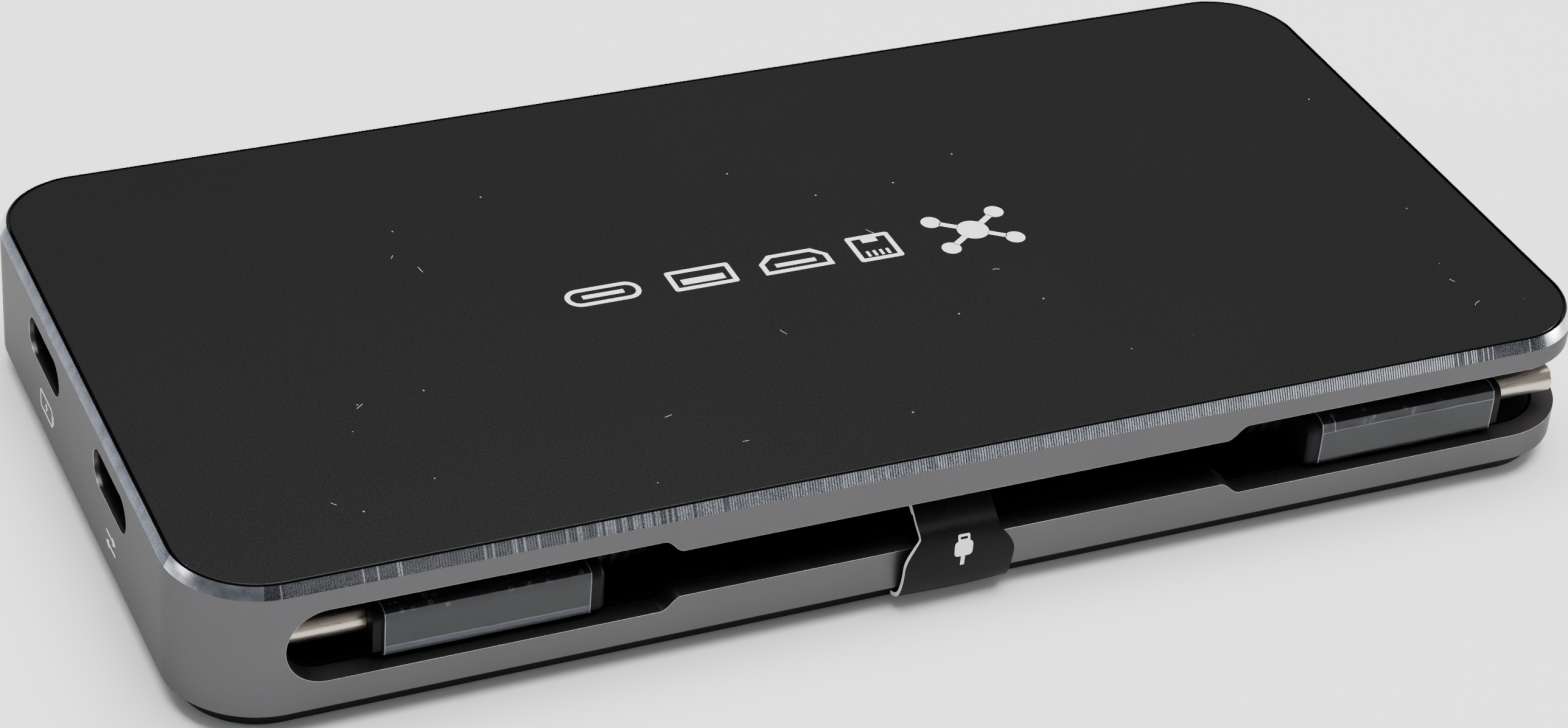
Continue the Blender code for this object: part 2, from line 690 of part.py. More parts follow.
def make_port_plate():
    """The part of the left wall that the two USB-C openings go through, flush with the housing."""
    plate = bar(
        "left_port_plate", "anodised_aluminium", (LEFT, *PORT_PLATE_LOW), (LEFT + WALL, *PORT_PLATE_HIGH),
        PORT_PLATE_CORNER, "X",
    )
    wide, high = LEFT_OPENING
    for name, y in LEFT_PORTS.items():
        low = (LEFT - PAST, y - wide / 2, LEFT_PORT_Z - high / 2)
        top = (LEFT + THROUGH_WALL, y + wide / 2, LEFT_PORT_Z + high / 2)
        boolean(plate, bar_cutter(f"{name}_opening", low, top, OVAL * high, "X", OVAL_SEGMENTS))


def make_left_ports():
    """USB-C receptacles: a steel shell open at the left, with a tongue inside."""
    for name, y in LEFT_PORTS.items():
        wide, high = C_SHELL
        mouth = LEFT + C_SHELL_BACKSET
        back = mouth + C_SHELL_LENGTH
        shell = bar(
            f"{name}_port_shell", "port_steel", (mouth, y - wide / 2, LEFT_PORT_Z - high / 2),
            (back, y + wide / 2, LEFT_PORT_Z + high / 2), OVAL * high, "X", OVAL_SEGMENTS,
        )
        inner_wide = wide - 2 * C_SHELL_WALL
        inner_high = high - 2 * C_SHELL_WALL
        boolean(shell, bar_cutter(
            f"{name}_port_inside", (mouth - PAST, y - inner_wide / 2, LEFT_PORT_Z - inner_high / 2),
            (back - C_SHELL_WALL, y + inner_wide / 2, LEFT_PORT_Z + inner_high / 2),
            OVAL * inner_high, "X", OVAL_SEGMENTS,
        ))
        block = (inner_wide - C_BLOCK_CLEARANCE, inner_high - C_BLOCK_CLEARANCE, C_BLOCK_LENGTH)
        root = (back - C_SHELL_WALL - BLOCK_GAP, y, LEFT_PORT_Z)
        make_tongue(f"{name}_port_tongue", "X", root, -1, block, C_TONGUE)


def make_tongue(name, axis, root, way, block, tongue, rise=0.0):
    """A contact tongue on its block. The block and tongue sizes are width, height and length."""
    x, y, z = root
    block_end = way * block[2]
    tip = way * (block[2] + tongue[2])
    if axis == "X":
        low = (min(x, x + block_end), y - block[0] / 2, z - block[1] / 2)
        high = (max(x, x + block_end), y + block[0] / 2, z + block[1] / 2)
        from_inside = x + block_end / 2
        tongue_low = (min(from_inside, x + tip), y - tongue[0] / 2, z + rise - tongue[1] / 2)
        tongue_high = (max(from_inside, x + tip), y + tongue[0] / 2, z + rise + tongue[1] / 2)
    else:
        low = (x - block[0] / 2, min(y, y + block_end), z - block[1] / 2)
        high = (x + block[0] / 2, max(y, y + block_end), z + block[1] / 2)
        from_inside = y + block_end / 2
        tongue_low = (x - tongue[0] / 2, min(from_inside, y + tip), z + rise - tongue[1] / 2)
        tongue_high = (x + tongue[0] / 2, max(from_inside, y + tip), z + rise + tongue[1] / 2)
    corner = min(block[1] * BLOCK_CORNER_SHARE, BLOCK_CORNER_MOST)
    whole = bar(name, "insert_plastic", low, high, corner, axis, 3)
    boolean(whole, bar_cutter(f"{name}_blade", tongue_low, tongue_high), "UNION")


def make_back_shell(name, x, size, length, chamfer=0.0):
    """A steel port shell, open at the back face of the hub."""
    mouth = BACK - BACK_SHELL_BACKSET
    wide, high = size[0] / 2, size[1] / 2
    segments = 1 if chamfer else SMALL_SEGMENTS
    side = -1 if chamfer else None
    corner = chamfer or BACK_SHELL_CORNER
    shell = bar(
        name, "port_steel", (x - wide, mouth - length, BACK_PORT_Z - high),
        (x + wide, mouth, BACK_PORT_Z + high), corner, "Y", segments, side,
    )
    wide -= BACK_SHELL_WALL
    high -= BACK_SHELL_WALL
    boolean(shell, bar_cutter(
        f"{name}_inside", (x - wide, mouth - length + BACK_SHELL_WALL, BACK_PORT_Z - high),
        (x + wide, mouth + PAST, BACK_PORT_Z + high), corner * BACK_SHELL_INNER_CORNER, "Y", segments, side,
    ))
    return mouth - length + BACK_SHELL_WALL + BLOCK_GAP


def make_back_ports():
    for name, x in USB_A_X.items():
        root = make_back_shell(f"{name}_shell", x, USB_A_SIZE, USB_A_LENGTH)
        place = (x, root, BACK_PORT_Z)
        make_tongue(f"{name}_tongue", "Y", place, 1, USB_A_BLOCK, USB_A_TONGUE, USB_A_TONGUE_RISE)
    root = make_back_shell("video_port_shell", VIDEO_X, VIDEO_SIZE, VIDEO_LENGTH, VIDEO_CHAMFER)
    place = (VIDEO_X, root, BACK_PORT_Z + VIDEO_RISE)
    make_tongue("video_port_tongue", "Y", place, 1, VIDEO_BLOCK, VIDEO_TONGUE)
    make_ethernet_jack()


def make_ethernet_jack():
    """A plain plug cavity, open at the back face, with a block of contacts on its floor."""
    low = (JACK_X + JACK_LOW[0], JACK_LOW[1], JACK_LOW[2])
    high = (JACK_X + JACK_HIGH[0], JACK_HIGH[1], JACK_HIGH[2])
    jack = bar("ethernet_jack", "insert_plastic", low, high, JACK_CORNER, "Y", 2)
    boolean(jack, bar_cutter(
        "ethernet_inside", (JACK_X - JACK_CAVITY_HALF_WIDTH, JACK_CAVITY_BACK, JACK_CAVITY_LOW),
        (JACK_X + JACK_CAVITY_HALF_WIDTH, JACK_HIGH[1] + PAST, JACK_CAVITY_HIGH),
    ))
    behind, above = CONTACTS_LOW
    low = (JACK_X - CONTACTS_HALF_WIDTH, JACK_CAVITY_BACK + behind, JACK_CAVITY_LOW + above)
    behind, above = CONTACTS_HIGH
    high = (JACK_X + CONTACTS_HALF_WIDTH, JACK_CAVITY_BACK + behind, JACK_CAVITY_LOW + above)
    bar("ethernet_contacts", "contact_gold", low, high, CONTACTS_CORNER, "X", 2)


def lead_box(start, end, width, thickness):
    """Corners of a box on the plugs' axis, between two places along X."""
    low = (min(start, end), LEAD_Y - width / 2, PLUG_Z - thickness / 2)
    high = (max(start, end), LEAD_Y + width / 2, PLUG_Z + thickness / 2)
    return low, high


def make_plug(side, way):
    """One end of the lead. way is +1 where the tip points to +X."""
    front = PLUG_FRONT_X[side]
    back = front - way * PLUG_LENGTH
    body = bar(
        f"{side}_plug_body", "plug_plastic", *lead_box(front, back, PLUG_WIDTH, PLUG_THICKNESS),
        PLUG_EDGE_RADIUS, "X", OVAL_SEGMENTS,
    )
    bevel(body, PLUG_END_BEVEL)
    hole_width = TIP_WIDTH + 2 * TIP_CLEARANCE
    hole_thickness = TIP_THICKNESS + 2 * TIP_CLEARANCE
    hole_end = front - way * (TIP_DEPTH_IN_PLUG + TIP_CLEARANCE)
    boolean(body, bar_cutter(
        f"{side}_plug_hole", *lead_box(front + way * PAST, hole_end, hole_width, hole_thickness),
        OVAL * hole_thickness, "X", OVAL_SEGMENTS,
    ))
    make_plug_tip(side, way, front)
    make_film(side, way, front)
    make_strain_relief(side, way, back - way * END_GAP)


def make_plug_tip(side, way, front):
    """The metal tip and the insert that carries its contacts."""
    root = front - way * TIP_DEPTH_IN_PLUG
    end = front + way * TIP_LENGTH
    tip = bar(
        f"{side}_plug_shell", "plug_nickel", *lead_box(root, end, TIP_WIDTH, TIP_THICKNESS),
        OVAL * TIP_THICKNESS, "X", OVAL_SEGMENTS,
    )
    inner_width = TIP_WIDTH - 2 * TIP_WALL
    inner_thickness = TIP_THICKNESS - 2 * TIP_WALL
    boolean(tip, bar_cutter(
        f"{side}_tip_inside",
        *lead_box(root + way * TIP_WALL, end + way * PAST, inner_width, inner_thickness),
        OVAL * inner_thickness, "X", OVAL_SEGMENTS,
    ))
    insert_width = inner_width - 2 * TIP_CLEARANCE
    insert_thickness = inner_thickness - 2 * TIP_CLEARANCE
    insert_start = root + way * (TIP_WALL + TIP_CLEARANCE)
    insert_end = end - way * INSERT_SETBACK
    insert = bar(
        f"{side}_plug_insert", "insert_plastic",
        *lead_box(insert_start, insert_end, insert_width, insert_thickness),
        OVAL * insert_thickness, "X", SMALL_SEGMENTS,
    )
    mouth = lead_box(insert_end - way * INSERT_MOUTH_DEPTH, end, *INSERT_MOUTH)
    boolean(insert, bar_cutter(f"{side}_insert_mouth", *mouth))


def make_film(side, way, front):
    """A thin clear sleeve round the plug's body."""
    start = front - way * FILM_START
    end = start - way * FILM_LENGTH
    inner = 2 * FILM_GAP
    outer = inner + 2 * FILM_THICKNESS
    film = bar(
        f"{side}_plug_film", "clear_film",
        *lead_box(start, end, PLUG_WIDTH + outer, PLUG_THICKNESS + outer),
        PLUG_EDGE_RADIUS + outer / 2, "X", OVAL_SEGMENTS,
    )
    boolean(film, bar_cutter(
        f"{side}_film_inside",
        *lead_box(start + way * PAST, end - way * PAST, PLUG_WIDTH + inner, PLUG_THICKNESS + inner),
        PLUG_EDGE_RADIUS + inner / 2, "X", OVAL_SEGMENTS,
    ))


def make_strain_relief(side, way, root):
    """A sleeve with three grooves, rising from the plug's middle to the cable's."""
    narrow = CABLE_RADIUS + RELIEF_OVER_CABLE
    profile = [(0, RELIEF_LENGTH), (narrow, RELIEF_LENGTH)]
    for part in RELIEF_GROOVES:
        radius = RELIEF_ROOT_RADIUS + (narrow - RELIEF_ROOT_RADIUS) * part
        height = RELIEF_LENGTH * part
        profile += [
            (radius, height + GROOVE_HALF_WIDTH), (radius - GROOVE_DEPTH, height + GROOVE_HALF_FLOOR),
            (radius - GROOVE_DEPTH, height - GROOVE_HALF_FLOOR), (radius, height - GROOVE_HALF_WIDTH),
        ]
    edge = RELIEF_ROOT_EDGE
    profile += [(RELIEF_ROOT_RADIUS, edge), (RELIEF_ROOT_RADIUS - edge, 0), (0, 0)]
    name = f"{side}_strain_relief"
    mesh = turned_mesh(name, profile, SMALL_ROUND_SIDES)
    for vert in mesh.vertices:
        vert.co.x += way * (LEAD_Z - PLUG_Z) * vert.co.z / RELIEF_LENGTH
    relief = add_part(name, mesh, "cable_jacket", (root, LEAD_Y, PLUG_Z))
    relief.rotation_euler.y = -way * pi / 2


def make_cable():
    """The straight run of the lead between its two strain reliefs."""
    reach = PLUG_LENGTH + RELIEF_LENGTH + 2 * END_GAP
    start = PLUG_FRONT_X["left"] + reach
    end = PLUG_FRONT_X["right"] - reach
    curve = bpy.data.curves.new("lead_cable", "CURVE")
    curve.dimensions = "3D"
    curve.bevel_depth = CABLE_RADIUS
    curve.bevel_resolution = 3
    curve.use_fill_caps = True
    spline = curve.splines.new("POLY")
    spline.points.add(CABLE_POINTS - 1)
    for i, point in enumerate(spline.points):
        point.co = (start + (end - start) * i / (CABLE_POINTS - 1), LEAD_Y, LEAD_Z, 1)
    add_part("lead_cable", curve, "cable_jacket")


def tag_route():
    """(y, z) of the label's middle surface, from its hidden end, round the lead and down the front.

    The first value of each free point is how far it is behind the housing's front face.
    """
    hidden_ply = [(0.00138, 0.00872), (0.0021, 0.00922), (0.0030, 0.00955), (0.0040, 0.00945),
                  (0.00475, 0.0090)]
    front_ply = [(0.0048, 0.01035), (0.0032, 0.0101), (0.0019, 0.00955), (0.00115, 0.0090),
                 (0.0004, 0.0083), (-0.0003, 0.0078), (-0.00062, 0.00735), (-0.00085, 0.0066),
                 (-0.00095, 0.0057), (-0.00095, 0.0047), (-0.00085, 0.0037), (-0.00065, 0.0027),
                 (-0.0003, 0.0019), (0.0002, 0.00145), (0.00075, 0.00122), (0.0010, 0.00118)]
    loop = arc((LEAD_Y, LEAD_Z), TAG_LOOP_RADIUS, 180, 470, 16)
    hidden_ply = [(FRONT + deep, z) for deep, z in hidden_ply]
    front_ply = [(FRONT + deep, z) for deep, z in front_ply]
    return hidden_ply, loop, front_ply


def smooth_route(points, per_span=2):
    """Catmull-Rom points through a list of (y, z)."""
    points = [Vector(point) for point in points]
    ends = [2 * points[0] - points[1], *points, 2 * points[-1] - points[-2]]
    smooth = []
    for a, b, c, d in zip(ends, ends[1:], ends[2:], ends[3:]):
        slope = c - a
        bend = 2 * a - 5 * b + 4 * c - d
        turn = 3 * b - a - 3 * c + d
        for i in range(per_span):
            t = i / per_span
            smooth.append((2 * b + slope * t + bend * t**2 + turn * t**3) / 2)
    return [*smooth, points[-1]]


def tag_half_width(z, on_front):
    """The neck's half width inside the slot, growing to the body's below the bend."""
    if not on_front:
        return TAG_NECK_HALF_WIDTH
    part = min(max((TAG_SHOULDER_TOP - z) / (TAG_SHOULDER_TOP - TAG_SHOULDER_BOTTOM), 0), 1)
    return TAG_NECK_HALF_WIDTH + (TAG_BODY_HALF_WIDTH - TAG_NECK_HALF_WIDTH) * sin(part * pi / 2)


def make_tag():
    """The label: a bent strip with a narrow neck, thin where it loops round the lead."""
    hidden_ply, loop, front_ply = tag_route()
    route = smooth_route(hidden_ply + loop + front_ply)
    first_on_front = 2 * (len(hidden_ply) + len(loop))
    bm = bmesh.new()
    bmesh.ops.create_grid(bm, x_segments=2, y_segments=len(route) - 1, size=0.5)
    rows = sorted(bm.verts, key=lambda vert: (round(vert.co.y, 5), vert.co.x))
    for i, vert in enumerate(rows):
        row = i // 3
        y, z = route[row]
        half_width = tag_half_width(z, row >= first_on_front)
        vert.co = (TAG_X + 2 * vert.co.x * half_width, y, z)
    bm.verts.index_update()
    thin = [vert.index for i, vert in enumerate(rows) if i // 3 < first_on_front]
    tag = add_part("lead_tag", mesh_from(bm, "lead_tag"), "tag_card")
    full = tag.vertex_groups.new(name="thickness")
    full.add(range(len(rows)), 1.0, "REPLACE")
    full.add(thin, TAG_LOOP_THINNESS, "REPLACE")
    solidify = tag.modifiers.new("thickness", "SOLIDIFY")
    solidify.thickness = TAG_THICKNESS
    solidify.offset = 0
    solidify.vertex_group = "thickness"


make_body_shell()
make_top()
make_base()
make_screws()
make_tray()
make_board()
make_board_parts()
make_port_plate()
make_left_ports()
make_back_ports()
make_plug("left", -1)
make_plug("right", 1)
make_cable()
make_tag()
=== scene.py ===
"""The looks of a slim aluminium USB-C hub with a short lead stowed in its front slot.

Metres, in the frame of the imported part: +X along the long side, -Y faces the slot, +Z up.
"""

import random
from math import cos, hypot, pi, radians, sin

import bmesh
import bpy
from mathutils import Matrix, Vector, noise


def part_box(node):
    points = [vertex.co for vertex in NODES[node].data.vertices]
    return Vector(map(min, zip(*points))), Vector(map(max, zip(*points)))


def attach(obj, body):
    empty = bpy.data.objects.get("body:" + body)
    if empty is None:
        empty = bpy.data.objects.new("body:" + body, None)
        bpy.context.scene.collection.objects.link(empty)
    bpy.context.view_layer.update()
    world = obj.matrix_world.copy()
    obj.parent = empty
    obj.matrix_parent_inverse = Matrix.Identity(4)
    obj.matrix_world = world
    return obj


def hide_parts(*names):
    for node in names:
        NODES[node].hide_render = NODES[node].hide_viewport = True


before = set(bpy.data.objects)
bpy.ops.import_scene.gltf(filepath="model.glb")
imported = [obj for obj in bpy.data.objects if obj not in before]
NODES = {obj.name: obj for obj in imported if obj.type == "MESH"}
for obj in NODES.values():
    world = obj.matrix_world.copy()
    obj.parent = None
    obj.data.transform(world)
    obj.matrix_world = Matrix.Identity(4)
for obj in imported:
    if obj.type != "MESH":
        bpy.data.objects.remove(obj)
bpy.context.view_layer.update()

MM = 0.001

# Housing: its box, and sizes from the CAD that a box doesn't show
LOW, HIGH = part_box("body_shell")
LEFT, FRONT = LOW.xy
RIGHT, BACK, TOP = HIGH
BODY_BOTTOM = 0.00245
LENGTH = RIGHT - LEFT
WIDTH = BACK - FRONT
CORNER_RADIUS = 0.0081
CHAMFER_HEIGHT = 0.0010
CHAMFER_INSET = 0.00055
RIM_INSET = 0.00062
CHAMFER_LOW = TOP - CHAMFER_HEIGHT
DECK_TOP = 0.01385
DECK_BOTTOM = 0.01305
WALL = 0.0020
COVER_RECESS_INSET = 0.0010
COVER_RECESS_TOP = 0.00345
LIP_BEVEL = 0.0001

# Slot for the lead
POCKET_LOW, POCKET_HIGH = 0.00503, 0.01210
SLOT_LOW, SLOT_HIGH = 0.00625, 0.01085
POCKET_LEFT_END = -0.0571
LEFT_STEP = (-0.0252, -0.0234)
RIGHT_STEP = (0.0270, 0.0290)
NOTCH_BACK = -0.0192
SLOT_DEPTH_IN_SHELL = 0.0077
TRAY_INNER_BACK = -0.0179

# Ports
LEFT_PORTS = {"charge": 0.0106, "data": -0.0098}
LEFT_PORT_Z = 0.01065
LEFT_OPENING = (0.0097, 0.0036)
USB_A_PORTS = ("usb_a_left", "usb_a_middle", "usb_a_right")
VIDEO_CHAMFER = 0.0016
PORT_CLEARANCE = 0.0003
A_PORT_CORNER = 0.0006
JACK_OPENING = (0.0119, 0.0080)
JACK_OPENING_Z = 0.00775
JACK_CORNER = 0.0005
OVAL = 0.499  # corner radius of an oval, as a share of its height
# Wall and rounded lip of each metal shell
C_SHELL = (0.00025, 0.0001)
TIP_SHELL = (0.0003, 0.00016)
A_SHELL = (0.0003, 0.00012)
VIDEO_SHELL = (0.0003, 0.0001)
# Rows of contacts, and how far from its tongue's tip each kind starts
C_ROW = {"length": 0.0030, "lift": 0.00035, "pitch": 0.0005, "count": 12, "width": 0.00026, "faces": (1, -1)}
TIP_ROW = {**C_ROW, "length": 0.0036, "lift": 0.00036}
A_ROW = {"length": 0.0070, "lift": 0, "pitch": 0.0024, "count": 4, "width": 0.0010, "faces": (-1,)}
VIDEO_ROW = {**C_ROW, "length": 0.0050, "lift": 0.0005, "pitch": 0.0010, "count": 10}
C_START = 0.0002
A_START = 0.0078
VIDEO_START = 0.0054
CONTACT_THICKNESS = 0.00003
# Network jack's wires: number, pitch, half width and thickness
WIRES = 8
WIRE_PITCH = 0.00102
WIRE_HALF_WIDTH = 0.00021
WIRE_THICKNESS = 0.0003

# Milling marks on the chamfer
RIB_PITCH = 0.00024
RIB_DEPTH = 0.000014
RIB_UNEVEN = (0.7, 1.3)
FAINT_RIB = 0.15
# Where the ribs of the front fade in and out: place and length
RIBS_RISE = (-0.052, 0.035)
RIBS_FALL = (0.056, 0.009)
# Power of a rib's strength that gives its chance of the painted highlight
RIB_HIGHLIGHT_FADE = 1.5
# Share of the outward direction that makes a side straight, and that makes it a long side
STRAIGHT = 0.99
LONG_SIDE = 0.97
CHAMFER_ROWS = 6
CHAMFER_CROWN = 0.00002
STREAK_DEPTH = 0.000006
STREAK_SCALE = 140
STREAK_ROW_SCALE = 7.3
RIM_DROP = 0.00002
# Chamfer finishes: cut aluminium at the corners, and copies of it with painted shade on the short ends,
# painted shade on the ribs and painted highlight on alternate ribs
CHAMFER_FINISHES = ("cut_aluminium", "chamfer_end_painted_shade", "rib_painted_shade", "rib_painted_highlight")

# Posts that hang from the deck: radius, bottom and top of the screw's hole
COVER_POST = (0.0024, 0.00215, 0.0072)
BOARD_BOSS = (0.0024, 0.00915, 0.0126)
SCREW_HOLE = 0.00115
POST_SIDES = 32
HOLE_SIDES = 24

# Panel and the lint on it
PANEL_EDGE = 0.00012
LINT_COUNT = 11
LINT_REACH = (0.058, 0.028)
LINT_LENGTH = (0.0002, 0.0010)
LINT_BEND = 0.8
LINT_RADIUS = 0.000014
LINT_STEPS = 6

# Base
COVER_FLOOR = 0.0019
COVER_RIM = 0.0013
COVER_EDGE = 0.0004
COUNTERBORE = (0.0022, 0.0012)
FOOT_RECESS = (0.0048, 0.0011)
PLATE_SIZE = (0.052, 0.022)
PLATE_DEPTH = 0.00015
PLATE_CORNER = 0.0015
FOOT_EDGE = 0.0002
# Dish under a foot: its outer and inner radius as shares of the foot's, and its depth
FOOT_DISH = (0.72, 0.66, 0.00008)
TRAY_EDGE = 0.00015

# Lead
CABLE_POINTS = 16
PLUG_STEP = 0.00018
PLUG_COLLAR = 0.0007
COLLAR_RISE = 0.00015
PLUG_FRONT_EDGE = 0.0003
PLUG_BACK_EDGE = 0.0005
PLUG_SHARPEST = 0.0003
TIP_HOLE_DEPTH = 0.0016
TIP_GAP = 0.0001
TIP_STEPS = 20
# Centre (y, z) and radius of each corner of a plug's section, from its upper back corner round over the top
PLUG_CORNERS = (
    ((0.0050, 0.0012), 0.0010), ((-0.0048, 0.0010), 0.0012),
    ((-0.0054, -0.0016), 0.0006), ((0.0050, -0.0012), 0.0010),
)
# Corners (y, z) of each film's section, from its lower back corner round over the top
FILM_BACK = ((0.00603, -0.0014), (0.00603, 0.0013), (0.0052, 0.00223))
FILM_FRONT = ((-0.00603, -0.0012), (-0.0060, -0.00195), (-0.0056, -0.00223), (0.0052, -0.00223))
FILM_CORNERS = {
    "left": (*FILM_BACK, (-0.00548, 0.00223), (-0.00592, 0.00203), (-0.00603, 0.00155), *FILM_FRONT),
    "right": (*FILM_BACK, (-0.00503, 0.00223), (-0.00581, 0.00193), (-0.00603, 0.00120), *FILM_FRONT),
}
# Corner that a film's free edge lies along, and how far that edge wanders
FOLD = {"left": 6, "right": 5}
FOLD_WANDER = {"left": 0.00002, "right": 0.00012}
FOLD_WANDER_SCALE = 420
# A second edge across the right film's upper front, by its share of the length and the corners it spans. It
# is drawn with the film's painted edge highlight.
SECOND_EDGE = {"left": (), "right": (0.926, 0.930)}
SECOND_EDGE_CORNERS = (3, 5)
# Film finishes: clear, overlap with a painted sheen, and edge with a painted highlight
FILM_FINISHES = ("clear_film", "film_overlap_sheen", "film_edge_highlight")
FILM_CLEAR, FILM_OVERLAP_SHEEN, FILM_EDGE_HIGHLIGHT = 0, 1, 2
# Finish of the flat that the free edge starts on; on the left, a double layer of film painted lighter as a
# sheen
FOLD_FINISH = {"left": FILM_OVERLAP_SHEEN, "right": FILM_CLEAR}
FLAT_SPANS = 8
FILM_STATIONS = 90
FILM_RIM = 0.004
FILM_THICKNESS = 0.00008
FILM_RIPPLE = 0.000004
FILM_RIPPLE_ALONG = 90
FILM_RIPPLE_ROUND = 260
FOLD_HALF_WIDTH = 0.00002
# Height over which the painted glint on the rims of the film's air pockets fades in
BUBBLE_GLINT_FROM = (0.0086, 0.0089)

# Boots behind the plugs, and the grooves round them
BOOT_TAPER = 0.00005
BOOT_EDGE = 0.0002
GROOVES_AT = (0.25, 0.5, 0.75)
GROOVE_HALF_WIDTH = 0.0004
GROOVE_FLOOR_HALF_WIDTH = 0.0002
GROOVE_DEPTH = 0.0003

# Label
TAG_X = sum(corner.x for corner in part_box("lead_tag")) / 2
TAG_SPANS = 4
TAG_THICKNESS = 0.00036
TAG_WAVE = 0.00006
TAG_WAVE_ACROSS = 2.6
TAG_WAVE_DOWN = 900
TAG_SIGN_AT = 0.0072
TAG_LOOP_RADIUS = 0.00203
TAG_ACROSS = 12
TAG_TUCKED = 0.6  # thickness of the hidden part, as a share
# Half width of the narrow part, how much wider the hanging part is, and the height and length of the change
TAG_HALF_WIDTH = 0.00365
TAG_WIDER = 0.00145
TAG_WIDENS = (0.0074, 0.0025)
# Middle of the card before and after its loop round the cable: depth behind the housing's front, and height
TAG_BEFORE = (
    (0.00138, 0.00872), (0.0021, 0.00922), (0.0030, 0.00955), (0.0040, 0.00945), (0.00475, 0.0090),
)
TAG_AFTER = (
    (0.0048, 0.01035), (0.0032, 0.0101), (0.0019, 0.00955), (0.00115, 0.0090), (0.0004, 0.0083),
    (-0.0003, 0.0078), (-0.00062, 0.00735), (-0.00085, 0.0066), (-0.00095, 0.0057), (-0.00095, 0.0047),
    (-0.00085, 0.0037), (-0.00065, 0.0027), (-0.0003, 0.0019), (0.0002, 0.00145), (0.00075, 0.00122),
    (0.0010, 0.00118),
)

# Printed signs: thickness of the ink, and how much of it is sunk
INK = 0.000012
INK_SUNK = 0.2 * INK
SIGN_STEPS = 6
TOP_SIGNS_BACK = 0.0004
BACK_SIGNS_Z = 12.9  # in millimetres, as the signs are

# Resolution
CORNER_STEPS = 28
OVAL_STEPS = 12
POCKET_STEPS = 40
SOFT_STEPS = 12
DISC_SIDES = 28
ROUND_SIDES = 64
MERGE = 0.000002
ARC_MARGIN = 0.00002
SAME_POINT = 1e-5
SMOOTH_ANGLE = radians(30)
EDGE_BREAK = 0.00004
EDGE_BREAK_ANGLE = radians(40)
PAST = 0.001

NOISE_ROUGHNESS = 0.55

# Surround: sine of the height above the horizon, and colour
SKY = (
    (0.0, (0.105, 0.115, 0.135)), (0.36, (0.15, 0.16, 0.18)), (0.50, (0.34, 0.33, 0.33)),
    (0.62, (0.24, 0.24, 0.25)), (0.80, (0.45, 0.45, 0.46)), (1.0, (0.80, 0.80, 0.80)),
)

# Lights: name, place, target, size and power
LIGHTS = (
    ("key", (0.04, 0.02, 0.75), (0, 0, 0), (0.7, 0.7), 17.5),
    ("left_box", (-0.82, 0.20, 0.22), (-0.05, 0, 0.01), (0.16, 0.16), 1.2),
    ("right_box", (0.75, -0.22, 0.10), (0.05, 0, 0.01), (0.16, 0.12), 3.2),
    ("front_strip", (0.36, -0.88, 0.30), (0, 0, 0.01), (0.24, 0.24), 0.36),
)
FLOOR_HALF = 3.0

# Camera
CAMERA_PLACE = (-0.13314, -0.26860, 0.20557)
CAMERA_TURN = (55.918, -4.154, -23.553)
CAMERA_LENS = 91.97
CAMERA_SENSOR = 36


# ---------------------------------------------------------------- materials

def new_material(name):
    material = bpy.data.materials.new(name)
    material.use_nodes = True
    tree = material.node_tree
    return material, tree, tree.nodes["Principled BSDF"]


def feed(tree, node, inputs):
    """Gives a node its inputs: a socket is linked, a value is set."""
    for key, value in inputs.items():
        if isinstance(value, bpy.types.NodeSocket):
            tree.links.new(value, node.inputs[key])
        else:
            node.inputs[key].default_value = value


def add_node(tree, kind, inputs, **settings):
    made = tree.nodes.new(kind)
    for key, value in settings.items():
        setattr(made, key, value)
    feed(tree, made, inputs)
    return made


def places(tree, stretch=(1, 1, 1)):
    """Coordinates in the shared frame, since every piece's own origin is the frame's."""
    coordinates = add_node(tree, "ShaderNodeTexCoord", {}).outputs["Object"]
    return add_node(tree, "ShaderNodeMapping", {"Vector": coordinates, "Scale": stretch}).outputs["Vector"]


def noise_of(tree, where, scale, detail=3.0):
    settings = {"Vector": where, "Scale": scale, "Detail": detail, "Roughness": NOISE_ROUGHNESS}
    return add_node(tree, "ShaderNodeTexNoise", settings).outputs["Fac"]


def spread_of(tree, value, low, high, start=0.3, end=0.7):
    settings = {"Value": value, "From Min": start, "From Max": end, "To Min": low, "To Max": high}
    return add_node(tree, "ShaderNodeMapRange", settings).outputs["Result"]


def mixed(tree, share, first, second):
    """Colour that goes from first to second with share."""
    mix = add_node(tree, "ShaderNodeMix", {"Factor": share}, data_type="RGBA")
    for name, value in (("A", first), ("B", second)):
        index = next(i for i, socket in enumerate(mix.inputs) if socket.name == name and socket.enabled)
        feed(tree, mix, {index: value})
    return next(s for s in mix.outputs if s.enabled)


def combined(tree, operation, first, second):
    """Two values added or multiplied, and kept between 0 and 1."""
    inputs = {0: first, 1: second}
    return add_node(tree, "ShaderNodeMath", inputs, operation=operation, use_clamp=True).outputs[0]


def bump_of(tree, height, distance):
    return add_node(tree, "ShaderNodeBump", {"Height": height, "Distance": distance}).outputs["Normal"]


def surface(
        name, colour, roughness, metallic, grain, depth, vary, stretch=(1, 1, 1), shine=0.5, edge_tint=1.0):
    """A finish with broad colour variation, uneven roughness and a fine raised grain."""
    material, tree, shader = new_material(name)
    fine = noise_of(tree, places(tree, stretch), grain)
    darker = (*[c * (1 - vary) for c in colour], 1)
    lighter = (*[min(c * (1 + vary), 1) for c in colour], 1)
    tone = spread_of(tree, noise_of(tree, places(tree), 90), 0.25, 0.75)
    share = combined(tree, "ADD", tone, spread_of(tree, fine, -0.25, 0.25))
    feed(tree, shader, {
        "Base Color": mixed(tree, share, darker, lighter),
        "Roughness": spread_of(tree, fine, roughness - 0.06, roughness + 0.06),
        "Normal": bump_of(tree, fine, depth),
        "Metallic": metallic,
        "Specular IOR Level": shine,
        "Specular Tint": (edge_tint, edge_tint, edge_tint, 1),
    })
    return material


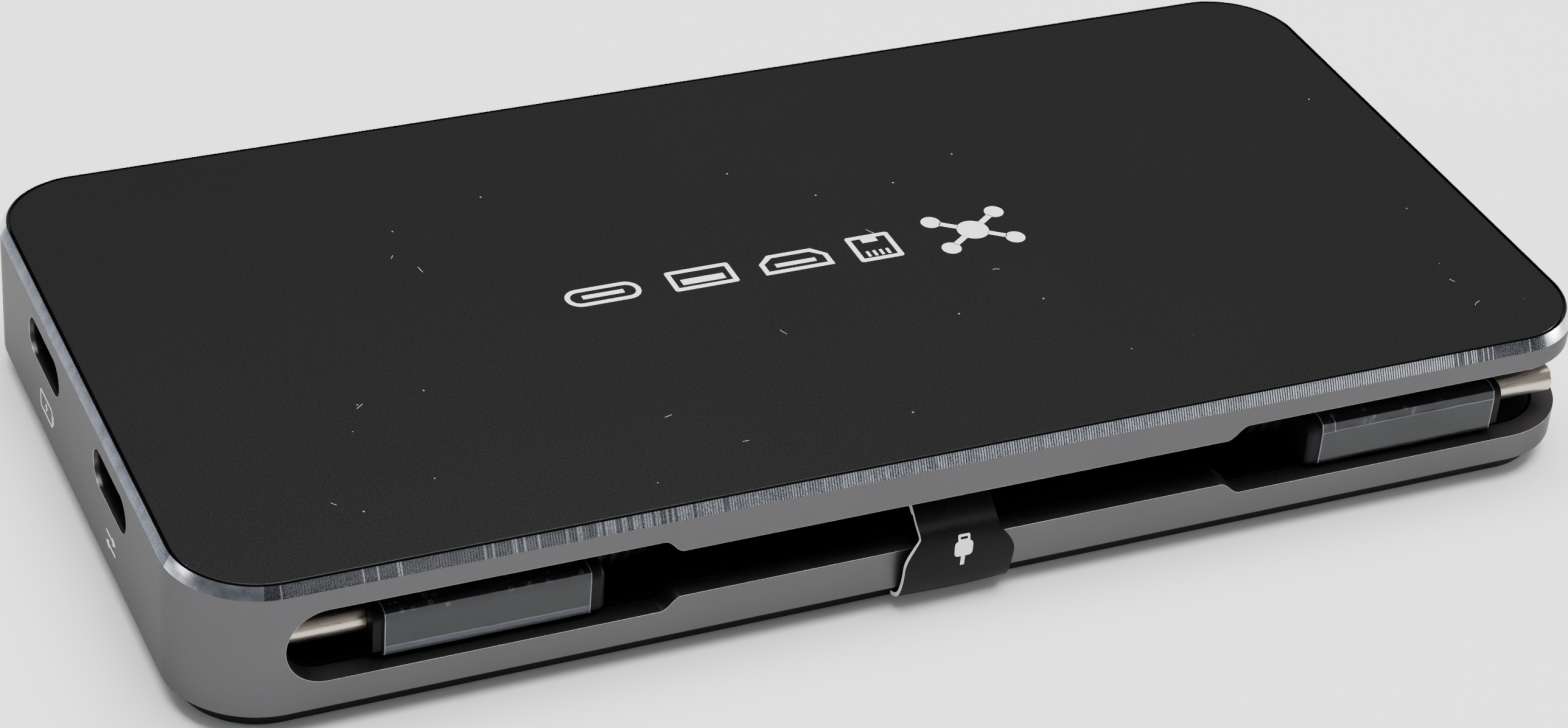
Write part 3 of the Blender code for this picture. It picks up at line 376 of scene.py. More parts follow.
def chamfer_material(name, dull, bright, mottle=0.5, specked=0.6, depth=0.000012):
    """Bare cut aluminium with broad patches by mottle and fine dull specks by specked."""
    material, tree, shader = new_material(name)
    where = places(tree)
    specks = noise_of(tree, where, 9000, 2.0)
    patches = spread_of(tree, noise_of(tree, where, 700, 4.0), 0.0, mottle)
    share = combined(tree, "ADD", spread_of(tree, specks, 0.0, specked, 0.35, 0.65), patches)
    feed(tree, shader, {
        "Base Color": mixed(tree, share, (*dull, 1), (*bright, 1)),
        "Roughness": spread_of(tree, specks, 0.24 - 0.17 * specked, 0.24 + 0.17 * specked),
        "Normal": bump_of(tree, specks, depth),
        "Metallic": 1.0,
    })
    return material


def panel_material():
    """Near-black fine matt coating with a few light specks of dust."""
    material, tree, shader = new_material("panel_coating")
    where = places(tree)
    grain = noise_of(tree, where, 5200, 2.0)
    broad = spread_of(tree, noise_of(tree, where, 45), 0.0, 1.0)
    cells = add_node(tree, "ShaderNodeTexVoronoi", {"Vector": where, "Scale": 330.0}).outputs
    near = spread_of(tree, cells["Distance"], 1.0, 0.0, 0.018, 0.032)
    dust = combined(tree, "MULTIPLY", near, spread_of(tree, cells["Color"], 0.0, 1.0, 0.62, 0.66))
    coating = mixed(tree, broad, (0.0030, 0.0027, 0.0029, 1), (0.0038, 0.0034, 0.0036, 1))
    grained = mixed(tree, spread_of(tree, grain, 0.0, 0.5), coating, (0.0062, 0.0056, 0.0060, 1))
    feed(tree, shader, {
        "Base Color": mixed(tree, dust, grained, (0.42, 0.41, 0.40, 1)),
        "Roughness": spread_of(tree, grain, 0.24, 0.34),
        "Normal": bump_of(tree, grain, 0.000008),
        "Specular IOR Level": 0.26,
    })
    return material


def bubble_rims_and_glint(tree, where, film, amount):
    """The film's colour with pale rings where air is caught under it, in its upper part: real air pockets,
    their pale rims a painted glint.
    """
    cells = add_node(tree, "ShaderNodeTexVoronoi", {"Vector": where, "Scale": 1300.0}).outputs
    height = add_node(tree, "ShaderNodeSeparateXYZ", {"Vector": where}).outputs["Z"]
    share = spread_of(tree, cells["Color"], 0.0, amount, 0.55, 0.60)
    for factor in (
        spread_of(tree, cells["Distance"], 0.0, 1.0, 0.16, 0.22),
        spread_of(tree, cells["Distance"], 1.0, 0.0, 0.24, 0.32),
        spread_of(tree, height, 0.0, 1.0, *BUBBLE_GLINT_FROM),
    ):
        share = combined(tree, "MULTIPLY", share, factor)
    return mixed(tree, share, film, (0.30, 0.33, 0.39, 1))


def film_material(name, cover, colour, bubble_rim_glint=0.0):
    """Clear film: a glossy sheet that is mostly see-through, with cover for the share that it hides."""
    material, tree, shader = new_material(name)
    swells = noise_of(tree, places(tree, (0.25, 1, 1)), 380, 2.0)
    darker = (*[c * 0.8 for c in colour], 1)
    lighter = (*[c * 1.2 for c in colour], 1)
    tinted = mixed(tree, spread_of(tree, swells, 0.0, 1.0), darker, lighter)
    # Pale rims of air pockets in the upper film: painted glint
    if bubble_rim_glint:
        tinted = bubble_rims_and_glint(tree, places(tree), tinted, bubble_rim_glint)
    feed(tree, shader, {
        "Base Color": tinted,
        "Roughness": spread_of(tree, swells, 0.07, 0.13),
        "Normal": bump_of(tree, swells, 0.000004),
        "Alpha": cover,
    })
    return material


def tag_material():
    """Satin black coated card with faint scuffs."""
    material, tree, shader = new_material("tag_coating")
    fibre = noise_of(tree, places(tree), 2600, 4.0)
    scuffs = noise_of(tree, places(tree, (1, 1, 0.15)), 500, 5.0)
    tone = spread_of(tree, fibre, 0.0, 1.0)
    base = mixed(tree, tone, (0.0024, 0.0024, 0.0025, 1), (0.0038, 0.0038, 0.0040, 1))
    worn = spread_of(tree, scuffs, 0.0, 0.22, 0.68, 0.82)
    feed(tree, shader, {
        "Base Color": mixed(tree, worn, base, (0.09, 0.09, 0.09, 1)),
        "Roughness": spread_of(tree, fibre, 0.38, 0.50),
        "Normal": bump_of(tree, fibre, 0.00001),
        "Specular IOR Level": 0.07,
    })
    return material


def board_material():
    """Green solder mask with faint copper runs under it."""
    material, tree, shader = new_material("solder_mask")
    where = places(tree)
    runs = add_node(
        tree, "ShaderNodeTexBrick",
        {"Vector": where, "Scale": 420.0, "Mortar Size": 0.12, "Color1": (0.006, 0.05, 0.024, 1),
         "Color2": (0.009, 0.062, 0.03, 1), "Mortar": (0.02, 0.10, 0.05, 1)},
    ).outputs
    feed(tree, shader, {
        "Base Color": runs["Color"],
        "Roughness": spread_of(tree, noise_of(tree, where, 900), 0.25, 0.42),
        "Normal": bump_of(tree, runs["Fac"], 0.00002),
    })
    return material


FINISHES = {
    "anodised_aluminium": surface(
        "anodised", (0.078, 0.0758, 0.0782), 0.42, 1.0, 5200, 0.000012, 0.06, edge_tint=0.55),
    "cut_edge": surface("cut_edge", (0.62, 0.62, 0.64), 0.26, 1.0, 7000, 0.00001, 0.35),
    "cut_aluminium": chamfer_material(
        "cut_aluminium", (0.30, 0.31, 0.34), (0.75, 0.78, 0.84), 0.5, 0.1, 0.000002),
    # Short ends of the chamfer: a darker copy of the cut aluminium, as painted shade
    "chamfer_end_painted_shade": chamfer_material("chamfer_end_painted_shade", (0.015, 0.018, 0.026), (0.14, 0.155, 0.20)),
    # Ribs of the long sides: darker and lighter copies of the cut aluminium, as painted shade and painted
    # highlight
    "rib_painted_shade": chamfer_material("rib_painted_shade", (0.090, 0.093, 0.100), (0.21, 0.217, 0.232), 0.3),
    "rib_painted_highlight": chamfer_material("rib_painted_highlight", (0.46, 0.49, 0.56), (0.80, 0.83, 0.90), 0.3),
    "black_panel": panel_material(),
    "base_plastic": surface(
        "base_moulding", (0.0042, 0.0043, 0.0050), 0.36, 0, 3200, 0.00001, 0.2, shine=0.06),
    "tray_plastic": surface(
        "tray_moulding", (0.0030, 0.0029, 0.0029), 0.38, 0, 3000, 0.00001, 0.2, shine=0.12),
    "foot_rubber": surface("rubber", (0.018, 0.018, 0.018), 0.78, 0, 2600, 0.00003, 0.2),
    "plug_plastic": surface(
        "plug_moulding", (0.0050, 0.0050, 0.0052), 0.46, 0, 4200, 0.00001, 0.15, shine=0.08),
    "plug_nickel": surface("nickel", (0.45, 0.40, 0.33), 0.30, 1.0, 5000, 0.000003, 0.05, (0.08, 1, 1)),
    "insert_plastic": surface("insert_moulding", (0.010, 0.010, 0.010), 0.48, 0, 3600, 0.00001, 0.2),
    "cable_jacket": surface(
        "jacket", (0.0045, 0.0045, 0.0048), 0.58, 0, 3800, 0.00002, 0.15, shine=0.15),
    "clear_film": film_material("film", 0.45, (0.020, 0.021, 0.024), 0.5),
    # Double film by the left free edge: lighter as a painted sheen
    "film_overlap_sheen": film_material("film_overlap_sheen", 0.55, (0.050, 0.055, 0.068)),
    # Edges of the film: pale, as a painted highlight
    "film_edge_highlight": film_material("film_edge_highlight", 0.55, (0.26, 0.29, 0.36)),
    "tag_card": tag_material(),
    "card_core": surface("card_core", (0.72, 0.73, 0.76), 0.80, 0, 5200, 0.00003, 0.12),
    "adhesive": surface("adhesive", (0.50, 0.48, 0.43), 0.70, 0, 1400, 0.00002, 0.1),
    # Left sockets' shells: the tin-plated port steel painted dark, as painted shade inside their openings
    "socket_steel_painted_shade": surface(
        "steel_in_painted_shade", (0.014, 0.014, 0.015), 0.55, 1.0, 2400, 0.000006, 0.1, (0.1, 1, 1), edge_tint=0.3),
    "port_steel": surface("tin_plate", (0.56, 0.56, 0.57), 0.30, 1.0, 2400, 0.000006, 0.1, (1, 0.1, 1)),
    "contact_gold": surface("gold_flash", (0.83, 0.60, 0.24), 0.25, 1.0, 4200, 0.000004, 0.1),
    "screw_steel": surface("black_zinc", (0.10, 0.10, 0.105), 0.34, 1.0, 3600, 0.00001, 0.15),
    "board_laminate": board_material(),
    "chip_resin": surface("resin", (0.016, 0.016, 0.017), 0.55, 0, 5200, 0.00001, 0.2),
    "ferrite": surface("ferrite", (0.055, 0.053, 0.051), 0.60, 0, 2600, 0.00003, 0.2),
    "can_aluminium": surface("can", (0.72, 0.72, 0.73), 0.28, 1.0, 3200, 0.000006, 0.08),
    "thermal_silicone": surface("silicone", (0.33, 0.38, 0.46), 0.80, 0, 1800, 0.00002, 0.12),
    "print_white": surface("ink", (0.80, 0.81, 0.84), 0.55, 0, 4800, 0.000006, 0.06),
}


# ---------------------------------------------------------------- shapes

def span(node, axes):
    """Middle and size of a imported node's box along two axes."""
    low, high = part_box(node)
    ends = [(getattr(low, axis), getattr(high, axis)) for axis in axes]
    return [(a + b) / 2 for a, b in ends], [b - a for a, b in ends]


def rounding(radius, count=3):
    """Steps round a quarter edge: how far in from its side, and how far short of its end."""
    turns = [radians(90 * i / count) for i in range(count + 1)]
    return [(radius * (1 - cos(turn)), radius * (1 - sin(turn))) for turn in turns]


def mesh_from(bm, name):
    bmesh.ops.recalc_face_normals(bm, faces=bm.faces)
    mesh = bpy.data.meshes.new(name)
    bm.to_mesh(mesh)
    bm.free()
    return mesh


def take_in(bm, mesh):
    """Adds a mesh to bm, and removes it."""
    bm.from_mesh(mesh)
    bpy.data.meshes.remove(mesh)


def shown(name, data):
    obj = bpy.data.objects.new(name, data)
    bpy.context.scene.collection.objects.link(obj)
    return obj


def piece(name, mesh, finishes, body, replaces=(), slot=None, smooth=True):
    """A shown piece riding on a body. Its slot argument is not used."""
    obj = shown(name, mesh)
    for finish in finishes:
        mesh.materials.append(FINISHES[finish])
    if smooth:
        mesh.shade_smooth()
        mesh.set_sharp_from_angle(angle=SMOOTH_ANGLE)
        obj.modifiers.new("even_shading", "WEIGHTED_NORMAL").keep_sharp = True
    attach(obj, body)
    if replaces:
        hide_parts(*replaces)
    slot or finishes[0]
    return obj


def cut_mesh(mesh, cutters, joined=()):
    """The mesh with the joined ones added and the cutters taken out of it."""
    target = shown("target", mesh)
    others = []
    for operation, group in (("UNION", joined), ("DIFFERENCE", cutters)):
        for other_mesh in group:
            other = shown("other", other_mesh)
            others.append(other)
            modifier = target.modifiers.new("cut", "BOOLEAN")
            modifier.operation = operation
            modifier.solver = "EXACT"
            modifier.object = other
    bpy.context.view_layer.update()
    graph = bpy.context.evaluated_depsgraph_get()
    result = bpy.data.meshes.new_from_object(target.evaluated_get(graph))
    for obj in [*others, target]:
        bpy.data.objects.remove(obj)
    result.materials.clear()
    return result


def bevel_where(mesh, chosen, width, segments, material=-1):
    """Breaks the sharp edges whose two ends are both chosen."""
    bm = bmesh.new()
    bm.from_mesh(mesh)
    bmesh.ops.remove_doubles(bm, verts=bm.verts, dist=MERGE)
    sharp = [edge for edge in bm.edges if edge.is_manifold and edge.calc_face_angle(0) > SMOOTH_ANGLE]
    edges = [edge for edge in sharp if all(chosen(vert.co) for vert in edge.verts)]
    bmesh.ops.bevel(
        bm, geom=edges, offset=width, segments=segments, profile=0.5, affect="EDGES", material=material,
        clamp_overlap=True,
    )
    bm.to_mesh(mesh)
    bm.free()


def outline(width, height, radius, steps=OVAL_STEPS):
    """Points round a centred rounded rectangle, anticlockwise."""
    points = []
    for cx, cy, start in ((1, 1, 0), (-1, 1, 90), (-1, -1, 180), (1, -1, 270)):
        for i in range(steps + 1):
            angle = radians(start + 90 * i / steps)
            points.append((
                cx * (width / 2 - radius) + radius * cos(angle),
                cy * (height / 2 - radius) + radius * sin(angle),
            ))
    return points


def loft_mesh(name, rings):
    """A closed solid through rings of points, capped at both ends."""
    bm = bmesh.new()
    layers = [[bm.verts.new(point) for point in ring] for ring in rings]
    for first, second in zip(layers, layers[1:]):
        for i in range(len(first)):
            j = (i + 1) % len(first)
            bm.faces.new((first[i], first[j], second[j], second[i]))
    bm.faces.new(layers[0])
    bm.faces.new(layers[-1])
    bmesh.ops.remove_doubles(bm, verts=bm.verts, dist=MERGE)
    return mesh_from(bm, name)


def plan_ring(inset, z):
    """The housing's outline, set in from its walls, at a height."""
    points = outline(LENGTH - 2 * inset, WIDTH - 2 * inset, CORNER_RADIUS - inset, CORNER_STEPS)
    return [Vector((x, y, z)) for x, y in points]


def side_ring(x, centre, width, height, radius, steps=OVAL_STEPS):
    """A rounded rectangle across X."""
    return [Vector((x, centre[0] + u, centre[1] + v)) for u, v in outline(width, height, radius, steps)]


def back_ring(y, centre, width, height, radius):
    """A rounded rectangle across Y."""
    return [Vector((centre[0] + u, y, centre[1] + v)) for u, v in outline(width, height, radius)]


def plan_solid(inset, low, high):
    return loft_mesh("plan", [plan_ring(inset, low), plan_ring(inset, high)])


def prism(points, axis, low, high):
    """A flat outline, (x, z) along Y or (y, z) along X, as a solid between two places."""
    if axis == "Y":
        rings = [[Vector((u, end, v)) for u, v in points] for end in (low, high)]
    else:
        rings = [[Vector((end, u, v)) for u, v in points] for end in (low, high)]
    return loft_mesh("prism", rings)


def opening(axis, centre, size, radius, low, high):
    """A rounded rectangle as a solid to cut with."""
    points = [(centre[0] + u, centre[1] + v) for u, v in outline(*size, radius)]
    return prism(points, axis, low, high)


def box_mesh(low, high):
    corners = [(low[0], low[1]), (high[0], low[1]), (high[0], high[1]), (low[0], high[1])]
    return loft_mesh("box", [[Vector((x, y, z)) for x, y in corners] for z in (low[2], high[2])])


def turned(profile, x, y, sides=ROUND_SIDES):
    """A profile of (radius, height) points turned about an upright axis."""
    angles = [2 * pi * i / sides for i in range(sides)]
    rings = []
    for radius, z in profile:
        reach = max(radius, MERGE)
        rings.append([Vector((x + reach * cos(a), y + reach * sin(a), z)) for a in angles])
    return loft_mesh("turned", rings)


def drum(x, y, radius, low, high, sides=ROUND_SIDES):
    return turned([(radius, low), (radius, high)], x, y, sides)


def arc(centre, radius, start, end, count):
    angles = [radians(start + (end - start) * i / count) for i in range(count + 1)]
    return [(centre[0] + radius * cos(a), centre[1] + radius * sin(a)) for a in angles]


def soft_step(start, end):
    """Points of an S between two places."""
    points = []
    for i in range(SOFT_STEPS + 1):
        part = i / SOFT_STEPS
        rise = (1 - cos(pi * part)) / 2
        points.append((start[0] + (end[0] - start[0]) * part, start[1] + (end[1] - start[1]) * rise))
    return points


def slot_outline():
    """The slot from the front: a round-ended pocket, a narrow stretch, a pocket open at the right."""
    radius = (POCKET_HIGH - POCKET_LOW) / 2
    middle = (POCKET_HIGH + POCKET_LOW) / 2
    points = arc((POCKET_LEFT_END + radius, middle), radius, 90, 270, POCKET_STEPS)
    points += soft_step((LEFT_STEP[0], POCKET_LOW), (LEFT_STEP[1], SLOT_LOW))
    points += soft_step((RIGHT_STEP[0], SLOT_LOW), (RIGHT_STEP[1], POCKET_LOW))
    points += [(RIGHT + PAST, POCKET_LOW), (RIGHT + PAST, POCKET_HIGH)]
    points += soft_step((RIGHT_STEP[1], POCKET_HIGH), (RIGHT_STEP[0], SLOT_HIGH))
    points += soft_step((LEFT_STEP[1], SLOT_HIGH), (LEFT_STEP[0], POCKET_HIGH))
    return points


def notch_outline():
    """The pocket's way out through the right end: (y, z) with a round end at the back."""
    radius = (POCKET_HIGH - POCKET_LOW) / 2
    middle = (POCKET_HIGH + POCKET_LOW) / 2
    points = arc((NOTCH_BACK - radius, middle), radius, -90, 90, POCKET_STEPS)
    return points + [(FRONT - PAST, POCKET_HIGH), (FRONT - PAST, POCKET_LOW)]


def places_of(kind):
    """Centre of each packed screw or foot of a kind."""
    return [span(name, "xy")[0] for name in NODES if name.startswith(kind)]


# ---------------------------------------------------------------- housing

def port_cutters():
    """Openings in the left end and the back."""
    through = 1.5 * WALL
    ends = (BACK - through, BACK + PAST)
    oval = OVAL * LEFT_OPENING[1]
    cutters = []
    for y in LEFT_PORTS.values():
        cutters.append(opening("X", (y, LEFT_PORT_Z), LEFT_OPENING, oval, LEFT - PAST, LEFT + through))
    for name in USB_A_PORTS:
        centre, size = span(f"{name}_shell", "xz")
        size = [length + 2 * PORT_CLEARANCE for length in size]
        cutters.append(opening("Y", centre, size, A_PORT_CORNER, *ends))
    low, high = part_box("video_port_shell")
    cutters.append(prism(video_outline(low, high, PORT_CLEARANCE), "Y", *ends))
    jack = (span("ethernet_jack", "xz")[0][0], JACK_OPENING_Z)
    cutters.append(opening("Y", jack, JACK_OPENING, JACK_CORNER, *ends))
    return cutters


def video_outline(low, high, grow, cut=VIDEO_CHAMFER):
    """A rectangle with its two lower corners cut off: (x, z)."""
    x0, x1 = low.x - grow, high.x + grow
    z0, z1 = low.z - grow, high.z + grow
    return [(x0 + cut, z0), (x1 - cut, z0), (x1, z0 + cut), (x1, z1), (x0, z1), (x0, z0 + cut)]


def on_outer_wall(point):
    """True for a point on the housing's outer wall."""
    reach_x = abs(point.x) - (LENGTH / 2 - CORNER_RADIUS)
    reach_y = abs(point.y) - (WIDTH / 2 - CORNER_RADIUS)
    if reach_x > 0 and reach_y > 0:
        return abs(hypot(reach_x, reach_y) - CORNER_RADIUS) < ARC_MARGIN
    return abs(max(reach_x, reach_y) - CORNER_RADIUS) < MERGE


def make_housing():
    """The anodised shell up to the foot of the chamfer, with bright metal on the lips of its openings."""
    holes, posts = [], []
    for kind, (radius, bottom, hole_top) in (("cover_screw", COVER_POST), ("board_screw", BOARD_BOSS)):
        for x, y in places_of(kind):
            posts.append(drum(x, y, radius, bottom, (DECK_BOTTOM + DECK_TOP) / 2, POST_SIDES))
            holes.append(drum(x, y, SCREW_HOLE, bottom - PAST, hole_top, HOLE_SIDES))
    solid = loft_mesh("housing", [plan_ring(0, BODY_BOTTOM), plan_ring(0, CHAMFER_LOW)])
    hollow = [
        plan_solid(RIM_INSET, DECK_TOP, TOP + PAST),
        plan_solid(WALL, BODY_BOTTOM - PAST, DECK_BOTTOM),
        plan_solid(COVER_RECESS_INSET, BODY_BOTTOM - PAST, COVER_RECESS_TOP),
        prism(slot_outline(), "Y", FRONT - PAST, FRONT + SLOT_DEPTH_IN_SHELL),
        prism(notch_outline(), "X", RIGHT - 1.5 * WALL, RIGHT + PAST),
    ]
    mesh = cut_mesh(cut_mesh(solid, hollow + port_cutters()), holes, posts)
    low, high = BODY_BOTTOM + PAST, CHAMFER_LOW - 2 * LIP_BEVEL
    bevel_where(mesh, lambda place: low < place.z < high and on_outer_wall(place), LIP_BEVEL, 2, 1)
    walls = ("body_shell", "left_port_plate")
    return piece("housing", mesh, ("anodised_aluminium", "cut_edge"), "hub", walls, "anodised_aluminium")


def rim_point(along):
    """Place on the outline and outward direction at a distance along it, from the front-left corner on."""
    x, y = LENGTH / 2 - CORNER_RADIUS, WIDTH / 2 - CORNER_RADIUS
    quarter = CORNER_RADIUS * pi / 2
    out = Vector((0, -1))
    corners = ((-x, -y), (x, -y), (x, y), (-x, y), (-x, -y))
    for start, corner, length in zip(corners, corners[1:], (2 * x, 2 * y, 2 * x, 2 * y)):
        way = Vector((-out.y, out.x))
        if along <= length:
            return Vector(start) + way * along + out * CORNER_RADIUS, out
        along -= length
        if along <= quarter:
            turn = along / CORNER_RADIUS
            outward = out * cos(turn) + way * sin(turn)
            return Vector(corner) + outward * CORNER_RADIUS, outward
        along -= quarter
        out = way
    raise ValueError("past the end of the outline")


def rib_strength(place, outward):
    """How deep the milling marks are: full on the long sides, faint at the corners and the short ends."""
    if abs(outward.y) < STRAIGHT:
        return FAINT_RIB
    if outward.y > 0:
        return 1.0
    rise = min(max((place.x - RIBS_RISE[0]) / RIBS_RISE[1], 0), 1)
    fall = min(max((RIBS_FALL[0] - place.x) / RIBS_FALL[1], 0), 1)
    return max(FAINT_RIB, rise * fall)


def chamfer_finish(outward, lit_rib):
    """A facet's finish: cut aluminium at the corners, painted shade on the short ends, and painted shade and
    painted highlight on the ribs of the long sides.
    """
    # Short ends: painted shade
    if abs(outward.x) > STRAIGHT:
        return "chamfer_end_painted_shade"
    if abs(outward.y) < LONG_SIDE:
        return "cut_aluminium"
    return "rib_painted_highlight" if lit_rib else "rib_painted_shade"


def make_chamfer():
    """The cut chamfer and rim round the panel, with its ribs as facets of their own shape, and painted shade
    and painted highlight on their facets.
    """
    total = 2 * (LENGTH + WIDTH - 4 * CORNER_RADIUS) + 2 * pi * CORNER_RADIUS
    count = 2 * round(total / RIB_PITCH)
    slope = Vector((CHAMFER_HEIGHT, CHAMFER_INSET)).normalized()
    rim = ((RIM_INSET, TOP - RIM_DROP), (RIM_INSET, CHAMFER_LOW), (RIM_INSET / 2, CHAMFER_LOW))
    draw = random.Random(3)
    bm = bmesh.new()
    stations = []
    for i in range(count):
        place, outward = rim_point(total * i / count)
        strength = rib_strength(place, outward)
        rib = RIB_DEPTH * strength * draw.uniform(*RIB_UNEVEN) * (i % 2)
        profile = []
        for row in range(CHAMFER_ROWS + 1):
            share = row / CHAMFER_ROWS
            streak = noise.noise(Vector((*(place * STREAK_SCALE), row * STREAK_ROW_SCALE)))
            sunk = rib + STREAK_DEPTH * (0.5 + 0.5 * streak) * (1.4 - strength)
            sunk -= CHAMFER_CROWN * sin(pi * share)
            z = CHAMFER_LOW + CHAMFER_HEIGHT * share - sunk * slope.y
            profile.append((CHAMFER_INSET * share + sunk * slope.x, z))
        verts = [bm.verts.new((*(place - outward * inset), z)) for inset, z in (*profile, *rim)]
        # Some sunk rib facets get the painted highlight, more where the ribs are deeper; the other facets of
        # the long sides get the painted shade
        lit_rib = i % 2 and draw.random() < strength**RIB_HIGHLIGHT_FADE
        stations.append((verts, CHAMFER_FINISHES.index(chamfer_finish(outward, lit_rib))))
    for (first, finish), (second, _) in zip(stations, stations[1:] + stations[:1]):
        for k in range(len(first)):
            n = (k + 1) % len(first)
            bm.faces.new((first[k], second[k], second[n], first[n])).material_index = finish
    mesh = mesh_from(bm, "cut_chamfer")
    return piece("cut_chamfer", mesh, CHAMFER_FINISHES, "hub", (), "anodised_aluminium", smooth=False)


def make_panel():
    """The black top panel with a softly broken edge."""
    low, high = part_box("top_panel")
    inset = low.x - LEFT
    rings = [plan_ring(inset + PANEL_EDGE, low.z), plan_ring(inset, low.z + PANEL_EDGE)]
    rings += [plan_ring(inset + aside, high.z - short) for aside, short in rounding(PANEL_EDGE)]
    mesh = loft_mesh("panel", rings)
    return piece("panel", mesh, ("black_panel",), "hub", ("top_panel",))


def make_lint():
    """A few short hairs and flecks lying on the panel, as on the real one."""
    draw = random.Random(7)
    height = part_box("top_panel")[1].z + 0.6 * LINT_RADIUS
    bm = bmesh.new()
    for _ in range(LINT_COUNT):
        x, y = [draw.uniform(-reach, reach) for reach in LINT_REACH]
        length, turn = draw.uniform(*LINT_LENGTH), draw.uniform(0, pi)
        bend = draw.uniform(-LINT_BEND, LINT_BEND)
        rings = []
        for i in range(LINT_STEPS + 1):
            a = turn + bend * i / LINT_STEPS
            x += cos(a) * length / LINT_STEPS
            y += sin(a) * length / LINT_STEPS
            side = Vector((-sin(a), cos(a), 0)) * LINT_RADIUS
            centre, up = Vector((x, y, height)), Vector((0, 0, LINT_RADIUS))
            rings.append([bm.verts.new(centre + arm) for arm in (side, up, -side, -up)])
        for first, second in zip(rings, rings[1:]):
            for k in range(4):
                n = (k + 1) % 4
                bm.faces.new((first[k], first[n], second[n], second[k]))
        bm.faces.new(rings[0])
        bm.faces.new(rings[-1])
    return piece("panel_lint", mesh_from(bm, "lint"), ("card_core",), "hub", (), "black_panel")


# ---------------------------------------------------------------- base

def make_base():
    """The moulded base: rounded lower edge, screw wells, foot wells and a plain recessed plate."""
    low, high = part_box("bottom_cover")
    inset = low.x - LEFT
    rings = [plan_ring(inset + short, low.z + aside) for aside, short in rounding(COVER_EDGE, 8)]
    rings.append(plan_ring(inset, high.z))
    below = low.z - PAST
    cutters = [plan_solid(inset + COVER_RIM, COVER_FLOOR, high.z + PAST)]
    for x, y in places_of("cover_screw"):
        cutters.append(drum(x, y, COUNTERBORE[0], below, COUNTERBORE[1]))
        cutters.append(drum(x, y, SCREW_HOLE, below, COVER_FLOOR + PAST))
    for x, y in places_of("foot_"):
        cutters.append(drum(x, y, FOOT_RECESS[0], below, FOOT_RECESS[1]))
    plate = outline(*PLATE_SIZE, PLATE_CORNER, 8)
    cutters.append(loft_mesh("plate", [[(x, y, z) for x, y in plate] for z in (below, low.z + PLATE_DEPTH)]))
    mesh = cut_mesh(loft_mesh("base", rings), cutters)
    return piece("base", mesh, ("base_plastic",), "hub", ("bottom_cover",))


def make_feet():
    """Round rubber pads with a rounded lower edge and a shallow dish."""
    outer, inner, depth = FOOT_DISH
    for name in [n for n in NODES if n.startswith("foot_")]:
        low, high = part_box(name)
        middle = (low + high) / 2
        radius = (high.x - low.x) / 2
        profile = [(0, high.z), (radius, high.z)]
        profile += [(radius - aside, low.z + short) for aside, short in rounding(FOOT_EDGE)]
        profile += [(radius * outer, low.z), (radius * inner, low.z + depth), (0, low.z + depth)]
        mesh = turned(profile, middle.x, middle.y)
        piece(f"{name}_pad", mesh, ("foot_rubber",), "hub", (name,))


def make_tray():
    """The slot's black liner, with its front edge broken so that it catches the light."""
    low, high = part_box("cable_tray")
    inset = low.x - LEFT
    behind = box_mesh((LEFT, high.y, low.z - PAST), (RIGHT, BACK + PAST, high.z + PAST))
    cut = prism(slot_outline(), "Y", FRONT - PAST, TRAY_INNER_BACK)
    mesh = cut_mesh(plan_solid(inset, low.z, high.z), [behind, cut])
    bevel_where(mesh, lambda place: place.y < low.y + TRAY_EDGE / 3, TRAY_EDGE, 3)
    return piece("slot_liner", mesh, ("tray_plastic",), "hub", ("cable_tray",))


# ---------------------------------------------------------------- ports

def hollow_rings(ring_at, mouth, root, way, wall, lip):
    """Rings of a shell that is open at its mouth: up the outside, round the lip, down the inside."""
    rings = [ring_at(root, 0)]
    rings += [ring_at(mouth - way * short, aside) for aside, short in rounding(lip)]
    rings.append(ring_at(mouth, wall - lip * 0.5))
    rings.append(ring_at(mouth - way * lip, wall))
    rings.append(ring_at(root + way * wall, wall))
    return rings


def oval_shell(node, way, wall, lip, steps=OVAL_STEPS):
    """A metal shell of a USB-C port or plug, open at the end that way points to."""
    low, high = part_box(node)
    centre, (width, height) = span(node, "yz")
    root, mouth = (high.x, low.x) if way < 0 else (low.x, high.x)

    def ring_at(x, inset):
        wide, tall = width - 2 * inset, height - 2 * inset
        return side_ring(x, centre, wide, tall, OVAL * tall, steps)

    return loft_mesh("shell", hollow_rings(ring_at, mouth, root, way, wall, lip))


def make_c_ports():
    """The two USB-C sockets in the left end."""
    for side in LEFT_PORTS:
        mesh = oval_shell(f"{side}_port_shell", -1, *C_SHELL)
        # Shell in a darkened copy of the port steel: painted shade
        piece(f"{side}_socket", mesh, ("socket_steel_painted_shade",), "hub", (f"{side}_port_shell",), "port_steel")
        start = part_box(f"{side}_port_tongue")[0].x + C_START
        centre = span(f"{side}_port_shell", "yz")[0]
        contact_row(f"{side}_socket_contacts", "X", start, centre, "hub", **C_ROW)


def contact_row(name, axis, start, centre, body, length, lift, pitch, count, width, faces):
    """Gold contacts in a row, on the upper (1) and the lower (-1) face of a tongue."""
    bm = bmesh.new()
    for k in range(count):
        offset = (k - (count - 1) / 2) * pitch
        for face in faces:
            z0 = centre[1] + face * lift
            z1 = z0 + face * CONTACT_THICKNESS
            u0, u1 = centre[0] + offset - width / 2, centre[0] + offset + width / 2
            if axis == "X":
                low, high = (start, u0, min(z0, z1)), (start + length, u1, max(z0, z1))
            else:
                low, high = (u0, start, min(z0, z1)), (u1, start + length, max(z0, z1))
            take_in(bm, box_mesh(low, high))
    return piece(name, mesh_from(bm, name), ("contact_gold",), body, smooth=False)


